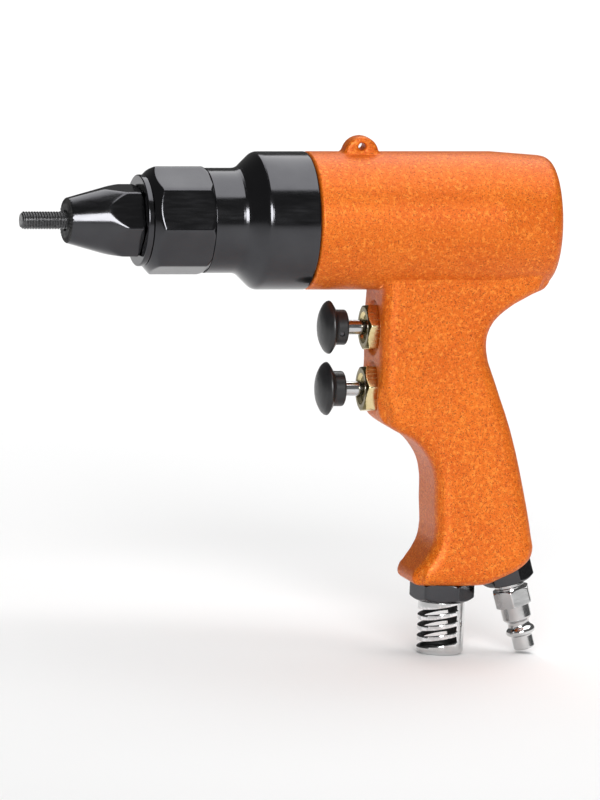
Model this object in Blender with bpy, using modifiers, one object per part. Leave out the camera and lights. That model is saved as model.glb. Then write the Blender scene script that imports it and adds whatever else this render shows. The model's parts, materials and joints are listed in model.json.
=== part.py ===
"""Air-driven rivet-nut gun: pistol casting, planetary gear case, spinning threaded mandrel.

Frame: metres, +Z up. X runs along the spindle, with the nose towards -X and the handle
down. The origin is the centre of the casting's flat rear face; Y = 0 is its mid plane.
"""

import math

import bpy
import bmesh
from mathutils import Matrix, Vector

# ---------------------------------------------------------------- driving dimensions
GAP = 0.0003                       # clearance kept between touching pieces
ROUND_SEGMENTS = 10                # bars with this many sides or more are shaded round
SHARP_ANGLE = math.radians(50)

# Casting, barrel part
BARREL_RADIUS = 0.0301
BARREL_FRONT_X = -0.1102
BARREL_TAPER_X = -0.0270           # the last stretch narrows towards the rear face
BARREL_REAR_RADIUS = 0.0284
BARREL_EDGE = 0.0050
BORE_RADIUS = 0.0250
BORE_END_X = -0.0100

# Casting, grip part
GRIP_HALF_WIDTH = 0.0188
GRIP_EDGE = 0.0058
GRIP_FRONT_X = -0.0773
GRIP_BOTTOM_Z = -0.1587
GRIP_STEPS = 3                     # segments of the outline between two knots
GRIP_EDGE_STEPS = 3
FOLD_LIMIT = 0.99                  # an inset point nearer the outline than this has folded over

# Hanging lug on top of the casting
LUG_X = -0.0866
LUG_TOP_Z = 0.0373
LUG_HALF_LENGTH = 0.0082
LUG_HALF_WIDTH = 0.0043
LUG_HOLE_RADIUS = 0.00175
LUG_HOLE_Z = 0.0330
LUG_FOOT_Z = 0.0270                # inside the barrel, so that the two run together
LUG_EDGE = 0.0012
LUG_STEPS = 12
LUG_FULLNESS = 0.8                 # below 1 the arch is squarer than an ellipse

# Gear case and nose
CASE_STEP_X = -0.1320
NECK_X = -0.1437
NECK_END_X = -0.1556
NECK_RADIUS = 0.0229
SPIGOT_END_X = -0.1700
SPIGOT_RADIUS = 0.0170
SLEEVE_FRONT_X = -0.1830
SLEEVE_FLATS = 0.0446
SLEEVE_CHAMFER = 0.0042            # long chamfer on the sleeve's front corners
JAM_FRONT_X = -0.1858
JAM_RADIUS = 0.0200
NOSE_FRONT_X = -0.2183
NOSE_CONE_X = -0.1930              # the cone leaves the hexagon's corners here
NOSE_SHANK_END_X = -0.1733
NOSE_FLATS = 0.0289
NOSE_TIP_RADIUS = 0.0099
NOSE_SHANK_RADIUS = 0.0120
STUD_TIP_X = -0.2382
THREAD_RADIUS = 0.0039             # M8 mandrel thread, drawn at its crest

# Gears: one module for both stages, a common ring gear
MODULE = 0.001
SUN_TEETH = 12
PLANET_TEETH = 15
RING_TEETH = 42
ADDENDUM = 0.8 * MODULE
DEDENDUM = 1.05 * MODULE
TOOTH_FILL = 0.85                  # tooth thickness against the nominal, for backlash
PRESSURE_ANGLE = math.radians(20)
PLANET_ORBIT = MODULE * (SUN_TEETH + PLANET_TEETH) / 2
PLANET_ANGLES = (0.0, 2 * math.pi / 3, 4 * math.pi / 3)
PIN_RADIUS = 0.0022
PLANET_BORE_RADIUS = 0.0026
CARRIER_RADIUS = 0.0172

# Motor
CYLINDER_RADIUS = BORE_RADIUS - GAP
ROTOR_RADIUS = 0.0170
CHAMBER_RADIUS = 0.0195
CHAMBER_RISE = 0.0021              # the chamber sits above the rotor's axis
VANE_COUNT = 5
VANE_THICKNESS = 0.0016
VANE_DEPTH = 0.0090
ROTOR_FRONT_X = -0.0634
ROTOR_REAR_X = -0.0246

# Valves: two alike, one above the other
VALVES = {"upper": -0.0470, "lower": -0.0740}
VALVE_BORE_RADIUS = 0.0060
VALVE_BORE_END_X = -0.0360
VALVE_SEAT_X = -0.0758             # spot faces that the glands sit on
SPOT_FACE_RADIUS = 0.0118
GLAND_THREAD_RADIUS = 0.0070       # tapped mouth of the valve bore
GLAND_THREAD_END_X = -0.0640
STEM_RADIUS = 0.0032
GLAND_FLATS = 0.0190
GLAND_FRONT_X = -0.0819
GLAND_TURN = math.radians(19)      # where the tightened hexagons came to rest
KNOB_RIM_X = -0.0978
KNOB_RADIUS = 0.01175
KNOB_COLLAR_RADIUS = 0.0077
SET_SCREW_AIMS = {"upper": Vector((0.0, -0.966, -0.259)), "lower": Vector((0.0, 1.0, 0.0))}
SPRING_WIRE_RADIUS = 0.0004
SPRING_TURNS = 4

# Air inlet, on an axis tilted back from the vertical, and the exhaust
INLET_POINT = Vector((-0.0136, 0.0, -0.1520))
INLET_TILT = math.radians(16.1)
INLET_FLATS = 0.0200
INLET_SEAT = 0.0023                # depth of the spot face, measured inwards on the axis
BUSHING_END = -0.0072              # lower end of the bushing's hexagon, on the same axis
PLUG_TOP = -0.0101                 # where the plug's hexagon begins, on the same axis
PLUG_FLATS = 0.0154
PLUG_HEXAGON_LENGTH = 0.0075
PLUG_BORE_RADIUS = 0.0027
EXHAUST_X = -0.0415
EXHAUST_FLATS = 0.0247
EXHAUST_THREAD_LENGTH = 0.0085
EXHAUST_THREAD_RADIUS = 0.0100
EXHAUST_BUSHING_END_Z = -0.1667
MUFFLER_RADIUS = 0.0102
MUFFLER_TOP_Z = -0.1670
MUFFLER_END_Z = -0.1902
SLOT_COUNT = 4
SLOT_WIDTH = 0.0027
SLOT_PITCH = 0.00466
SLOT_SLANT = math.radians(11)
SLOT_REACH = 0.0053                # the saw stops this far behind the muffler's axis
MUFFLER_WALL = 0.0016
MUFFLER_EDGE = 0.0020

OUTLET_TURN = math.radians(15.5)   # how far the hexagons of the outlets are turned

# ---------------------------------------------------------------- looks of the pieces
LOOKS = {
    "orange_cast": ((0.90, 0.28, 0.04), 0.55, 0.0),
    "black_oxide": ((0.012, 0.012, 0.014), 0.25, 0.6),
    "tool_steel": ((0.42, 0.42, 0.44), 0.30, 1.0),
    "gear_steel": ((0.33, 0.33, 0.35), 0.35, 1.0),
    "brass": ((0.78, 0.56, 0.22), 0.22, 1.0),
    "chrome": ((0.72, 0.72, 0.74), 0.12, 1.0),
    "black_knob": ((0.015, 0.015, 0.017), 0.35, 0.0),
    "spring_steel": ((0.50, 0.50, 0.52), 0.30, 1.0),
    "rubber": ((0.02, 0.02, 0.02), 0.80, 0.0),
    "bronze": ((0.55, 0.36, 0.17), 0.40, 1.0),
    "vane_resin": ((0.30, 0.17, 0.08), 0.60, 0.0),
    "motor_iron": ((0.22, 0.22, 0.23), 0.45, 0.8),
}


# ---------------------------------------------------------------- scene set-up
for old in list(bpy.data.objects):
    bpy.data.objects.remove(old, do_unlink=True)

PARTS = bpy.data.collections.new("rivet_nut_gun")
CUTTERS = bpy.data.collections.new("cutters")
bpy.context.scene.collection.children.link(PARTS)
bpy.context.scene.collection.children.link(CUTTERS)


# ---------------------------------------------------------------- placing
def along_x(x=0.0, y=0.0, z=0.0, turn=0.0):
    """Local +Z on world +X; turn rotates the piece about the spindle axis."""
    place = Matrix.Translation((x, y, z)) @ Matrix.Rotation(math.pi / 2, 4, "Y")
    return Matrix.Rotation(turn, 4, "X") @ place


def upright(x, y, z, turn=0.0):
    """Local +Z on world +Z."""
    return Matrix.Translation((x, y, z)) @ Matrix.Rotation(turn, 4, "Z")


def on_inlet(turn=0.0):
    """Local -Z runs out of the grip along the inlet axis; local origin on the casting's facet."""
    tilt = Matrix.Rotation(-INLET_TILT, 4, "Y")
    return Matrix.Translation(INLET_POINT) @ tilt @ Matrix.Rotation(turn, 4, "Z")


# ---------------------------------------------------------------- shape makers
def new_object(name, data, place):
    piece = bpy.data.objects.new(name, data)
    piece.matrix_world = place
    return piece


def turned(name, profile, place, steps=32):
    """Solid of revolution about local Z; profile holds (z, radius), top to bottom outside."""
    mesh = bpy.data.meshes.new(name)
    points = [(radius, 0.0, z) for z, radius in profile]
    closed = profile[0][1] > 0.0
    edges = [(i, i + 1) for i in range(len(points) - 1)]
    if closed:
        edges.append((len(points) - 1, 0))
    mesh.from_pydata(points, edges, [])
    piece = new_object(name, mesh, place)
    screw = piece.modifiers.new("turn", "SCREW")
    screw.steps = steps
    screw.render_steps = steps
    screw.use_merge_vertices = True
    screw.merge_threshold = 1e-6
    return piece


def ring_profile(top, bottom, outer, inner, edge=0.0):
    """Washer-like section; edge chamfers its two outer corners."""
    if edge:
        outside = [(top, outer - edge), (top - edge, outer), (bottom + edge, outer), (bottom, outer - edge)]
    else:
        outside = [(top, outer), (bottom, outer)]
    return outside + [(bottom, inner), (top, inner)]


def rod_profile(top, bottom, radius):
    return [(top, 0.0), (top, radius), (bottom, radius), (bottom, 0.0)]


def arc(centre_z, centre_r, radius, start, end, count):
    """Points (z, r) on an arc; angles in degrees from +Z towards +r."""
    points = []
    for i in range(count + 1):
        angle = math.radians(start + (end - start) * i / count)
        points.append((centre_z + radius * math.cos(angle), centre_r + radius * math.sin(angle)))
    return points


def cylinder(name, radius, bottom, top, place, segments=24):
    """Round or polygonal bar between two local heights."""
    shape = bmesh.new()
    bmesh.ops.create_cone(shape, cap_ends=True, segments=segments, radius1=radius, radius2=radius,
                          depth=top - bottom)
    bmesh.ops.translate(shape, verts=shape.verts, vec=(0.0, 0.0, (top + bottom) / 2))
    mesh = bpy.data.meshes.new(name)
    shape.to_mesh(mesh)
    shape.free()
    if segments >= ROUND_SEGMENTS:
        mesh.shade_smooth()
        mesh.set_sharp_from_angle(angle=SHARP_ANGLE)
    return new_object(name, mesh, place)


def polygon_bar(name, sides, flats, bottom, top, place, vertex_angle=0.0):
    """Regular bar measured across flats; one corner stands at vertex_angle from local +X."""
    radius = flats / 2 / math.cos(math.pi / sides)
    bar = cylinder(name, radius, bottom, top, place, sides)
    # create_cone puts its first corner on +Y
    bar.data.transform(Matrix.Rotation(vertex_angle - math.pi / 2, 4, "Z"))
    return bar


def block(name, size, place):
    shape = bmesh.new()
    bmesh.ops.create_cube(shape, size=1.0)
    bmesh.ops.scale(shape, verts=shape.verts, vec=size)
    mesh = bpy.data.meshes.new(name)
    shape.to_mesh(mesh)
    shape.free()
    return new_object(name, mesh, place)


def solid_from_curve(curve_object):
    """Turn a curve object into a closed mesh object, with its caps welded on."""
    bpy.context.scene.collection.objects.link(curve_object)
    bpy.context.view_layer.update()
    graph = bpy.context.evaluated_depsgraph_get()
    mesh = bpy.data.meshes.new_from_object(curve_object.evaluated_get(graph))
    shape = bmesh.new()
    shape.from_mesh(mesh)
    bmesh.ops.remove_doubles(shape, verts=shape.verts, dist=1e-6)
    bmesh.ops.dissolve_degenerate(shape, edges=shape.edges, dist=1e-7)
    shape.to_mesh(mesh)
    shape.free()
    name = curve_object.name
    place = curve_object.matrix_world.copy()
    bpy.data.objects.remove(curve_object, do_unlink=True)
    return new_object(name, mesh, place)


def plate(name, outlines, bottom, top, place):
    """Flat outline, with any holes as further outlines, given thickness along local Z."""
    curve = bpy.data.curves.new(name, "CURVE")
    curve.dimensions = "2D"
    curve.fill_mode = "BOTH"
    curve.extrude = (top - bottom) / 2
    for outline in outlines:
        spline = curve.splines.new("POLY")
        spline.points.add(len(outline) - 1)
        for point, (x, y) in zip(spline.points, outline):
            point.co = (x, y, 0.0, 1.0)
        spline.use_cyclic_u = True
    lift = Matrix.Translation((0.0, 0.0, (top + bottom) / 2))
    solid = solid_from_curve(new_object(name, curve, Matrix.Identity(4)))
    solid.data.transform(lift)
    solid.matrix_world = place
    return solid


def circle(radius, count, x=0.0, y=0.0):
    step = 2 * math.pi / count
    return [(x + radius * math.cos(i * step), y + radius * math.sin(i * step)) for i in range(count)]


def involute_half_angle(pitch_radius, half_thickness, radius):
    """Half the angle that a tooth covers at a radius, from its thickness at the pitch circle."""
    base = pitch_radius * math.cos(PRESSURE_ANGLE)
    roll = math.acos(min(1.0, base / radius))
    pitch_roll = math.tan(PRESSURE_ANGLE) - PRESSURE_ANGLE
    return half_thickness / pitch_radius + pitch_roll - (math.tan(roll) - roll)


def tooth_outline(teeth, inner, outer, half_thickness, phase=0.0):
    """Closed outline with teeth between two radii, one tooth centred on the phase angle."""
    pitch_radius = MODULE * teeth / 2
    corners = ((inner, -1), (outer, -1), (outer, 1), (inner, 1))
    points = []
    for tooth in range(teeth):
        centre = phase + 2 * math.pi * tooth / teeth
        for radius, side in corners:
            angle = centre + side * involute_half_angle(pitch_radius, half_thickness, radius)
            points.append((radius * math.cos(angle), radius * math.sin(angle)))
    return points


def gear_outline(teeth, phase=0.0):
    pitch_radius = MODULE * teeth / 2
    thickness = math.pi / 4 * MODULE * TOOTH_FILL
    return tooth_outline(teeth, pitch_radius - DEDENDUM, pitch_radius + ADDENDUM, thickness, phase)


def ring_gear_outline(teeth):
    """The hole of a ring gear, with a tooth space centred on the phase angle 0."""
    pitch_radius = MODULE * teeth / 2
    space = math.pi / 2 * MODULE - math.pi / 4 * MODULE * TOOTH_FILL
    return tooth_outline(teeth, pitch_radius - ADDENDUM, pitch_radius + DEDENDUM, space)


# ---------------------------------------------------------------- combining and finishing
def combine(target, tool, operation):
    """Boolean modifier on target; the tool goes to the cutters' collection."""
    CUTTERS.objects.link(tool)
    tool.hide_render = True
    tool.display_type = "WIRE"
    boolean = target.modifiers.new(tool.name, "BOOLEAN")
    boolean.operation = operation
    boolean.object = tool
    boolean.solver = "EXACT"
    return target


def cut(target, *tools):
    for tool in tools:
        combine(target, tool, "DIFFERENCE")
    return target


def join(target, *tools):
    for tool in tools:
        combine(target, tool, "UNION")
    return target


def trim(target, tool):
    return combine(target, tool, "INTERSECT")


def finish(piece, look, parent=None):
    """Put a piece in the parts' collection with a material of its own."""
    colour, roughness, metallic = LOOKS[look]
    material = bpy.data.materials.new(piece.name)
    material.use_nodes = True
    shader = material.node_tree.nodes["Principled BSDF"]
    shader.inputs["Base Color"].default_value = (*colour, 1.0)
    shader.inputs["Roughness"].default_value = roughness
    shader.inputs["Metallic"].default_value = metallic
    PARTS.objects.link(piece)
    piece.data.materials.append(material)
    if parent is not None:
        place = piece.matrix_world.copy()
        piece.parent = parent
        piece.matrix_parent_inverse = parent.matrix_world.inverted()
        piece.matrix_world = place
    return piece


def axis_empty(name, x, y, z):
    empty = bpy.data.objects.new(name, None)
    empty.matrix_world = Matrix.Translation((x, y, z))
    empty.empty_display_size = 0.01
    PARTS.objects.link(empty)
    return empty


# ---------------------------------------------------------------- casting
def grip_outline():
    """Side view of the grip as (x, z), from inside the barrel round the toe and back up the tang."""
    knots = (
        (-0.0745, -0.0120), (GRIP_FRONT_X, -0.0300), (GRIP_FRONT_X, -0.0640), (-0.0762, -0.0845),
        (-0.0700, -0.0902), (-0.0615, -0.0945), (-0.0547, -0.1015), (-0.0512, -0.1090),
        (-0.0501, -0.1240), (-0.0499, -0.1390), (-0.0533, -0.1468), (-0.0588, -0.1553),
        (-0.0571, -0.1583), (-0.0540, GRIP_BOTTOM_Z), (-0.0480, GRIP_BOTTOM_Z),
        (-0.0300, GRIP_BOTTOM_Z), (-0.0246, -0.1580), (-0.0200, -0.1560), (-0.0090, -0.1500),
        (-0.0051, -0.1440), (-0.0060, -0.1370), (-0.0102, -0.1168), (-0.0172, -0.0904),
        (-0.0253, -0.0684), (-0.0295, -0.0555), (-0.0285, -0.0455), (-0.0217, -0.0376),
        (-0.0100, -0.0306), (-0.0024, -0.0258), (-0.0060, -0.0160), (-0.0160, -0.0100),
    )
    curve = bpy.data.curves.new("grip_outline", "CURVE")
    curve.dimensions = "3D"
    curve.resolution_u = GRIP_STEPS
    spline = curve.splines.new("BEZIER")
    spline.bezier_points.add(len(knots) - 1)
    for knot, (x, z) in zip(spline.bezier_points, knots):
        knot.co = (x, z, 0.0)
        knot.handle_left_type = "AUTO"
        knot.handle_right_type = "AUTO"
    spline.use_cyclic_u = True
    holder = new_object("grip_outline", curve, Matrix.Identity(4))
    bpy.context.scene.collection.objects.link(holder)
    bpy.context.view_layer.update()
    graph = bpy.context.evaluated_depsgraph_get()
    mesh = bpy.data.meshes.new_from_object(holder.evaluated_get(graph))
    points = [vertex.co.to_2d() for vertex in mesh.vertices]
    bpy.data.objects.remove(holder, do_unlink=True)
    return points


def inset(outline, distance):
    """Outline moved inwards; where it would fold over itself, the points meet in one corner."""
    count = len(outline)
    moved = []
    for i, point in enumerate(outline):
        along = (outline[(i + 1) % count] - outline[i - 1]).normalized()
        moved.append(point + Vector((-along.y, along.x)) * distance)
    folded = []
    for point in moved:
        reach = min((closest_on_edge(point, outline[i - 1], outline[i]) - point).length for i in range(count))
        folded.append(reach < distance * FOLD_LIMIT)
    first = folded.index(False)
    i = first
    while i < first + count:
        if folded[i % count]:
            end = i
            while folded[end % count]:
                end += 1
            corner = (moved[(i - 1) % count] + moved[end % count]) / 2
            for k in range(i, end):
                moved[k % count] = corner
            i = end
        i += 1
    return moved


def closest_on_edge(point, start, end):
    run = end - start
    share = (point - start).dot(run) / run.length_squared
    return start + run * min(1.0, max(0.0, share))


def grip():
    """Grip as a slab with rounded rims, built ring by ring from one flat side to the other."""
    outline = grip_outline()
    levels = []
    for i in range(GRIP_EDGE_STEPS + 1):
        angle = math.pi / 2 * i / GRIP_EDGE_STEPS
        height = GRIP_HALF_WIDTH - GRIP_EDGE + GRIP_EDGE * math.sin(angle)
        levels.append((height, inset(outline, GRIP_EDGE * (1.0 - math.cos(angle)))))
    sides = [(-height, ring) for height, ring in reversed(levels)] + levels
    shape = bmesh.new()
    rings = [[shape.verts.new((p.x, height, p.y)) for p in ring] for height, ring in sides]
    count = len(outline)
    for lower, upper in zip(rings, rings[1:]):
        for i in range(count):
            shape.faces.new((lower[i - 1], lower[i], upper[i], upper[i - 1]))
    shape.faces.new(reversed(rings[0]))
    shape.faces.new(rings[-1])
    bmesh.ops.remove_doubles(shape, verts=shape.verts, dist=1e-6)
    bmesh.ops.dissolve_degenerate(shape, edges=shape.edges, dist=1e-7)
    bmesh.ops.recalc_face_normals(shape, faces=shape.faces)
    mesh = bpy.data.meshes.new("grip")
    shape.to_mesh(mesh)
    shape.free()
    mesh.shade_smooth()
    mesh.set_sharp_from_angle(angle=SHARP_ANGLE)
    return new_object("grip", mesh, Matrix.Identity(4))


def lug():
    """Hanging lug: a low arch, extruded across the barrel and rounded at its edges."""
    rise = LUG_TOP_Z - LUG_FOOT_Z
    curve = bpy.data.curves.new("lug", "CURVE")
    curve.dimensions = "2D"
    curve.fill_mode = "BOTH"
    curve.extrude = LUG_HALF_WIDTH - LUG_EDGE
    curve.bevel_depth = LUG_EDGE
    curve.bevel_resolution = 1
    curve.offset = -LUG_EDGE
    spline = curve.splines.new("POLY")
    outline = []
    for i in range(LUG_STEPS + 1):
        angle = math.pi * i / LUG_STEPS
        height = LUG_FOOT_Z + rise * math.sin(angle) ** LUG_FULLNESS
        outline.append((LUG_X + LUG_HALF_LENGTH * math.cos(angle), height))
    spline.points.add(len(outline) - 1)
    for point, (x, z) in zip(spline.points, outline):
        point.co = (x, z, 0.0, 1.0)
    spline.use_cyclic_u = True
    return solid_from_curve(new_object("lug", curve, Matrix.Rotation(math.pi / 2, 4, "X")))


def passage(name, start, end, radius, segments=12):
    """Round drilling between two points."""
    run = Vector(end) - Vector(start)
    place = Matrix.Translation(start) @ run.to_track_quat("Z", "Y").to_matrix().to_4x4()
    return cylinder(name, radius, 0.0, run.length, place, segments)


def body_housing():
    edge = arc(-BARREL_EDGE, BARREL_REAR_RADIUS - BARREL_EDGE, BARREL_EDGE, 0, 90, 4)
    barrel = [(0.0, 0.0)] + edge + [(BARREL_TAPER_X, BARREL_RADIUS), (BARREL_FRONT_X, BARREL_RADIUS),
                                    (BARREL_FRONT_X, 0.0)]
    housing = turned("body_housing", barrel, along_x(), 44)
    join(housing, grip(), lug())
    bore = [(BORE_END_X, 0.0), (BORE_END_X, BORE_RADIUS), (BARREL_FRONT_X + 0.0008, BORE_RADIUS),
            (BARREL_FRONT_X - 0.0007, BORE_RADIUS + 0.0015), (BARREL_FRONT_X - 0.0007, 0.0)]
    cut(housing, turned("motor_bore", bore, along_x(), 36))
    cut(housing, passage("lug_hole", (LUG_X, -0.01, LUG_HOLE_Z), (LUG_X, 0.01, LUG_HOLE_Z),
                         LUG_HOLE_RADIUS))
    for valve, z in VALVES.items():
        profile = [(VALVE_BORE_END_X, 0.0), (VALVE_BORE_END_X, VALVE_BORE_RADIUS),
                   (GLAND_THREAD_END_X, VALVE_BORE_RADIUS), (GLAND_THREAD_END_X, GLAND_THREAD_RADIUS),
                   (VALVE_SEAT_X, GLAND_THREAD_RADIUS), (VALVE_SEAT_X, SPOT_FACE_RADIUS),
                   (GLAND_FRONT_X, SPOT_FACE_RADIUS), (GLAND_FRONT_X, 0.0)]
        cut(housing, turned(valve + "_valve_bore", profile, along_x(z=z), 20))
    exhaust = [(GRIP_BOTTOM_Z + EXHAUST_THREAD_LENGTH + GAP, 0.0),
               (GRIP_BOTTOM_Z + EXHAUST_THREAD_LENGTH + GAP, EXHAUST_THREAD_RADIUS),
               (EXHAUST_BUSHING_END_Z, EXHAUST_THREAD_RADIUS), (EXHAUST_BUSHING_END_Z, 0.0)]
    cut(housing, turned("exhaust_bore", exhaust, upright(EXHAUST_X, 0.0, 0.0), 24))
    inlet = [(0.0165, 0.0), (0.0130, 0.0080), (INLET_SEAT, 0.0080), (INLET_SEAT, 0.0122),
             (-0.0150, 0.0122), (-0.0150, 0.0)]
    cut(housing, turned("inlet_bore", inlet, on_inlet(), 24))
    inlet_up = on_inlet().to_3x3() @ Vector((0.0, 0.0, 1.0))
    aside = Vector((0.0, 0.0038, 0.0))
    cut(housing, passage("inlet_passage", INLET_POINT + inlet_up * 0.0100 + aside,
                         INLET_POINT + inlet_up * 0.1100 + aside, 0.0026))
    cut(housing, passage("exhaust_passage", (EXHAUST_X, -0.0045, -0.1540), (EXHAUST_X, -0.0045, -0.0450),
                         0.0030))
    cut(housing, passage("upper_motor_port", (-0.0560, 0.0, VALVES["upper"]), (-0.0560, 0.0, -0.0200),
                         0.0022))
    cut(housing, passage("lower_motor_port", (-0.0485, 0.0040, VALVES["lower"]), (-0.0485, 0.0140, -0.0180),
                         0.0018))
    finish(housing, "orange_cast")


# ---------------------------------------------------------------- gear case and nose
def gear_case():
    """Turned case: spigot in the barrel, big ring, flare, neck, threaded nose spigot."""
    front = BARREL_FRONT_X - GAP
    outside = [
        (-0.0957, BORE_RADIUS - GAP), (BARREL_FRONT_X, BORE_RADIUS - GAP), (front, 0.0262),
        (front, BARREL_RADIUS - 0.0006), (front - 0.0006, BARREL_RADIUS),
        (CASE_STEP_X, BARREL_RADIUS),
    ]
    flare = [(-0.1336, 0.0298), (-0.1349, 0.0288), (-0.1394, 0.0246), (-0.1413, 0.0233),
             (NECK_X, NECK_RADIUS)]
    nose = [
        (NECK_END_X, NECK_RADIUS), (NECK_END_X, SPIGOT_RADIUS), (SPIGOT_END_X, SPIGOT_RADIUS),
        (SPIGOT_END_X, 0.0124), (-0.1445, 0.0124), (-0.1445, 0.0105), (-0.1330, 0.0105),
        (-0.1330, 0.0085), (-0.1215, 0.0085), (-0.1215, 0.0135), (-0.1130, 0.0135),
        (-0.1130, 0.0190), (-0.0957, 0.0190),
    ]
    finish(turned("gear_case", outside + flare + nose, along_x(), 36), "black_oxide")


def nose_sleeve():
    """Octagonal sleeve nut, both ends chamfered, screwed on the gear case's spigot."""
    rear = NECK_END_X - GAP
    angle = math.radians(2.0)
    sleeve = polygon_bar("nose_sleeve", 8, SLEEVE_FLATS, SLEEVE_FRONT_X, rear, along_x(), angle)
    corner = SLEEVE_FLATS / 2 / math.cos(math.pi / 8)
    profile = [
        (rear, 0.0), (rear, NECK_RADIUS - 0.0002), (rear - 0.0022, corner + 0.0002),
        (SLEEVE_FRONT_X + SLEEVE_CHAMFER, corner + 0.0002), (SLEEVE_FRONT_X, JAM_RADIUS - 0.0002),
        (SLEEVE_FRONT_X, 0.0),
    ]
    trim(sleeve, turned("sleeve_chamfer", profile, along_x(), 36))
    bore = [(rear + 0.0010, 0.0), (rear + 0.0010, SPIGOT_RADIUS + GAP),
            (SPIGOT_END_X - GAP, SPIGOT_RADIUS + GAP), (SPIGOT_END_X - GAP, NOSE_SHANK_RADIUS + GAP),
            (SLEEVE_FRONT_X - 0.0010, NOSE_SHANK_RADIUS + GAP), (SLEEVE_FRONT_X - 0.0010, 0.0)]
    cut(sleeve, turned("sleeve_bore", bore, along_x(), 24))
    finish(sleeve, "black_oxide")


def jam_ring():
    profile = ring_profile(SLEEVE_FRONT_X - GAP, JAM_FRONT_X, JAM_RADIUS, NOSE_SHANK_RADIUS + GAP, 0.0006)
    finish(turned("jam_ring", profile, along_x(), 28), "black_oxide")


def nosepiece(parent):
    """Hexagon running into a cone that ends in the grooved anvil face; hollow for the mandrel."""
    rear = JAM_FRONT_X - GAP
    corner_angle = math.radians(34.5)
    head = polygon_bar("nosepiece", 6, NOSE_FLATS, NOSE_FRONT_X, rear, along_x(), corner_angle)
    corner = NOSE_FLATS / 2 / math.cos(math.pi / 6)
    cone = [
        (rear, 0.0), (rear, corner - 0.0008), (rear - 0.0008, corner + 0.0001),
        (NOSE_CONE_X, corner + 0.0001), (NOSE_FRONT_X + 0.0006, NOSE_TIP_RADIUS),
        (NOSE_FRONT_X, NOSE_TIP_RADIUS - 0.0007), (NOSE_FRONT_X, 0.0),
    ]
    trim(head, turned("nose_cone", cone, along_x(), 28))
    shank = [(NOSE_SHANK_END_X, 0.0), (NOSE_SHANK_END_X, NOSE_SHANK_RADIUS),
             (-0.1758, NOSE_SHANK_RADIUS), (-0.1758, 0.0104), (-0.1778, 0.0104),
             (-0.1778, NOSE_SHANK_RADIUS), (rear - 0.0010, NOSE_SHANK_RADIUS), (rear - 0.0010, 0.0)]
    join(head, turned("nose_shank", shank, along_x(), 20))
    bore = [(-0.1700, 0.0), (-0.1700, 0.0092), (-0.1752, 0.0092), (-0.1752, 0.0046),
            (-0.2200, 0.0046), (-0.2200, 0.0)]
    cut(head, turned("nose_bore", bore, along_x(), 16))
    finish(head, "black_oxide", parent)


def o_ring(name, place, centre_z, centre_radius, wire):
    profile = [(centre_z + wire * math.cos(a), centre_radius + wire * math.sin(a))
               for a in [2 * math.pi * i / 5 for i in range(5)]]
    finish(turned(name, profile, place, 16), "rubber")


def mandrel(parent):
    """Threaded pull stud with a hexagonal drive head behind it."""
    rod = turned("mandrel", [(-0.1705, 0.0), (-0.1705, THREAD_RADIUS), (STUD_TIP_X + 0.0010, THREAD_RADIUS),
                             (STUD_TIP_X, THREAD_RADIUS - 0.0010), (STUD_TIP_X, 0.0)], along_x(), 20)
    join(rod, polygon_bar("mandrel_head", 6, 0.0120, -0.1715, -0.1600, along_x()))
    finish(rod, "black_oxide", parent)


def mandrel_thrust_washer():
    profile = ring_profile(-0.1718, -0.1730, 0.0085, 0.0044)
    finish(turned("mandrel_thrust_washer", profile, along_x(), 16), "bronze")


# ---------------------------------------------------------------- gears
def spindle(parent):
    """Second planet carrier, shaft and hexagonal drive socket in one piece."""
    profile = [(-0.0944, 0.0), (-0.0944, CARRIER_RADIUS), (-0.0986, CARRIER_RADIUS), (-0.0986, 0.0095),
               (-0.1110, 0.0095), (-0.1110, 0.0077), (-0.1448, 0.0077), (-0.1460, 0.0114),
               (-0.1712, 0.0114), (-0.1712, 0.0)]
    shaft = turned("spindle", profile, along_x(), 20)
    for number, angle in enumerate(PLANET_ANGLES, 1):
        pin = cylinder(f"second_pin_{number}", PIN_RADIUS, -0.0960, -0.0862,
                       along_x(z=PLANET_ORBIT, turn=angle), 10)
        join(shaft, pin)
    cut(shaft, polygon_bar("drive_socket", 6, 0.0126, -0.1730, -0.1595, along_x()))
    finish(shaft, "tool_steel", parent)


def first_carrier(parent):
    """Disc with three planet pins behind it and the second sun gear in front."""
    disc = turned("first_carrier", rod_profile(-0.0816, -0.0856, CARRIER_RADIUS), along_x(), 24)
    for number, angle in enumerate(PLANET_ANGLES, 1):
        pin = cylinder(f"first_pin_{number}", PIN_RADIUS, -0.0840, -0.0742,
                       along_x(z=PLANET_ORBIT, turn=angle), 10)
        join(disc, pin)
    join(disc, plate("second_sun", [gear_outline(SUN_TEETH)], -0.0938, -0.0850, along_x()))
    finish(disc, "gear_steel", parent)


def planet(name, angle, bottom, top):
    """Planet gear whose origin is on its pin; a tooth points at the ring gear."""
    place = along_x(z=PLANET_ORBIT, turn=angle)
    outlines = [gear_outline(PLANET_TEETH, math.pi / PLANET_TEETH), circle(PLANET_BORE_RADIUS, 10)]
    finish(plate(name, outlines, bottom, top, place), "gear_steel")


def ring_gear():
    outlines = [circle(CYLINDER_RADIUS, 28), ring_gear_outline(RING_TEETH)]
    finish(plate("ring_gear", outlines, -0.0954, -0.0736, along_x()), "gear_steel")


# ---------------------------------------------------------------- motor
def vane_angle(number):
    return 2 * math.pi * number / VANE_COUNT


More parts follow.
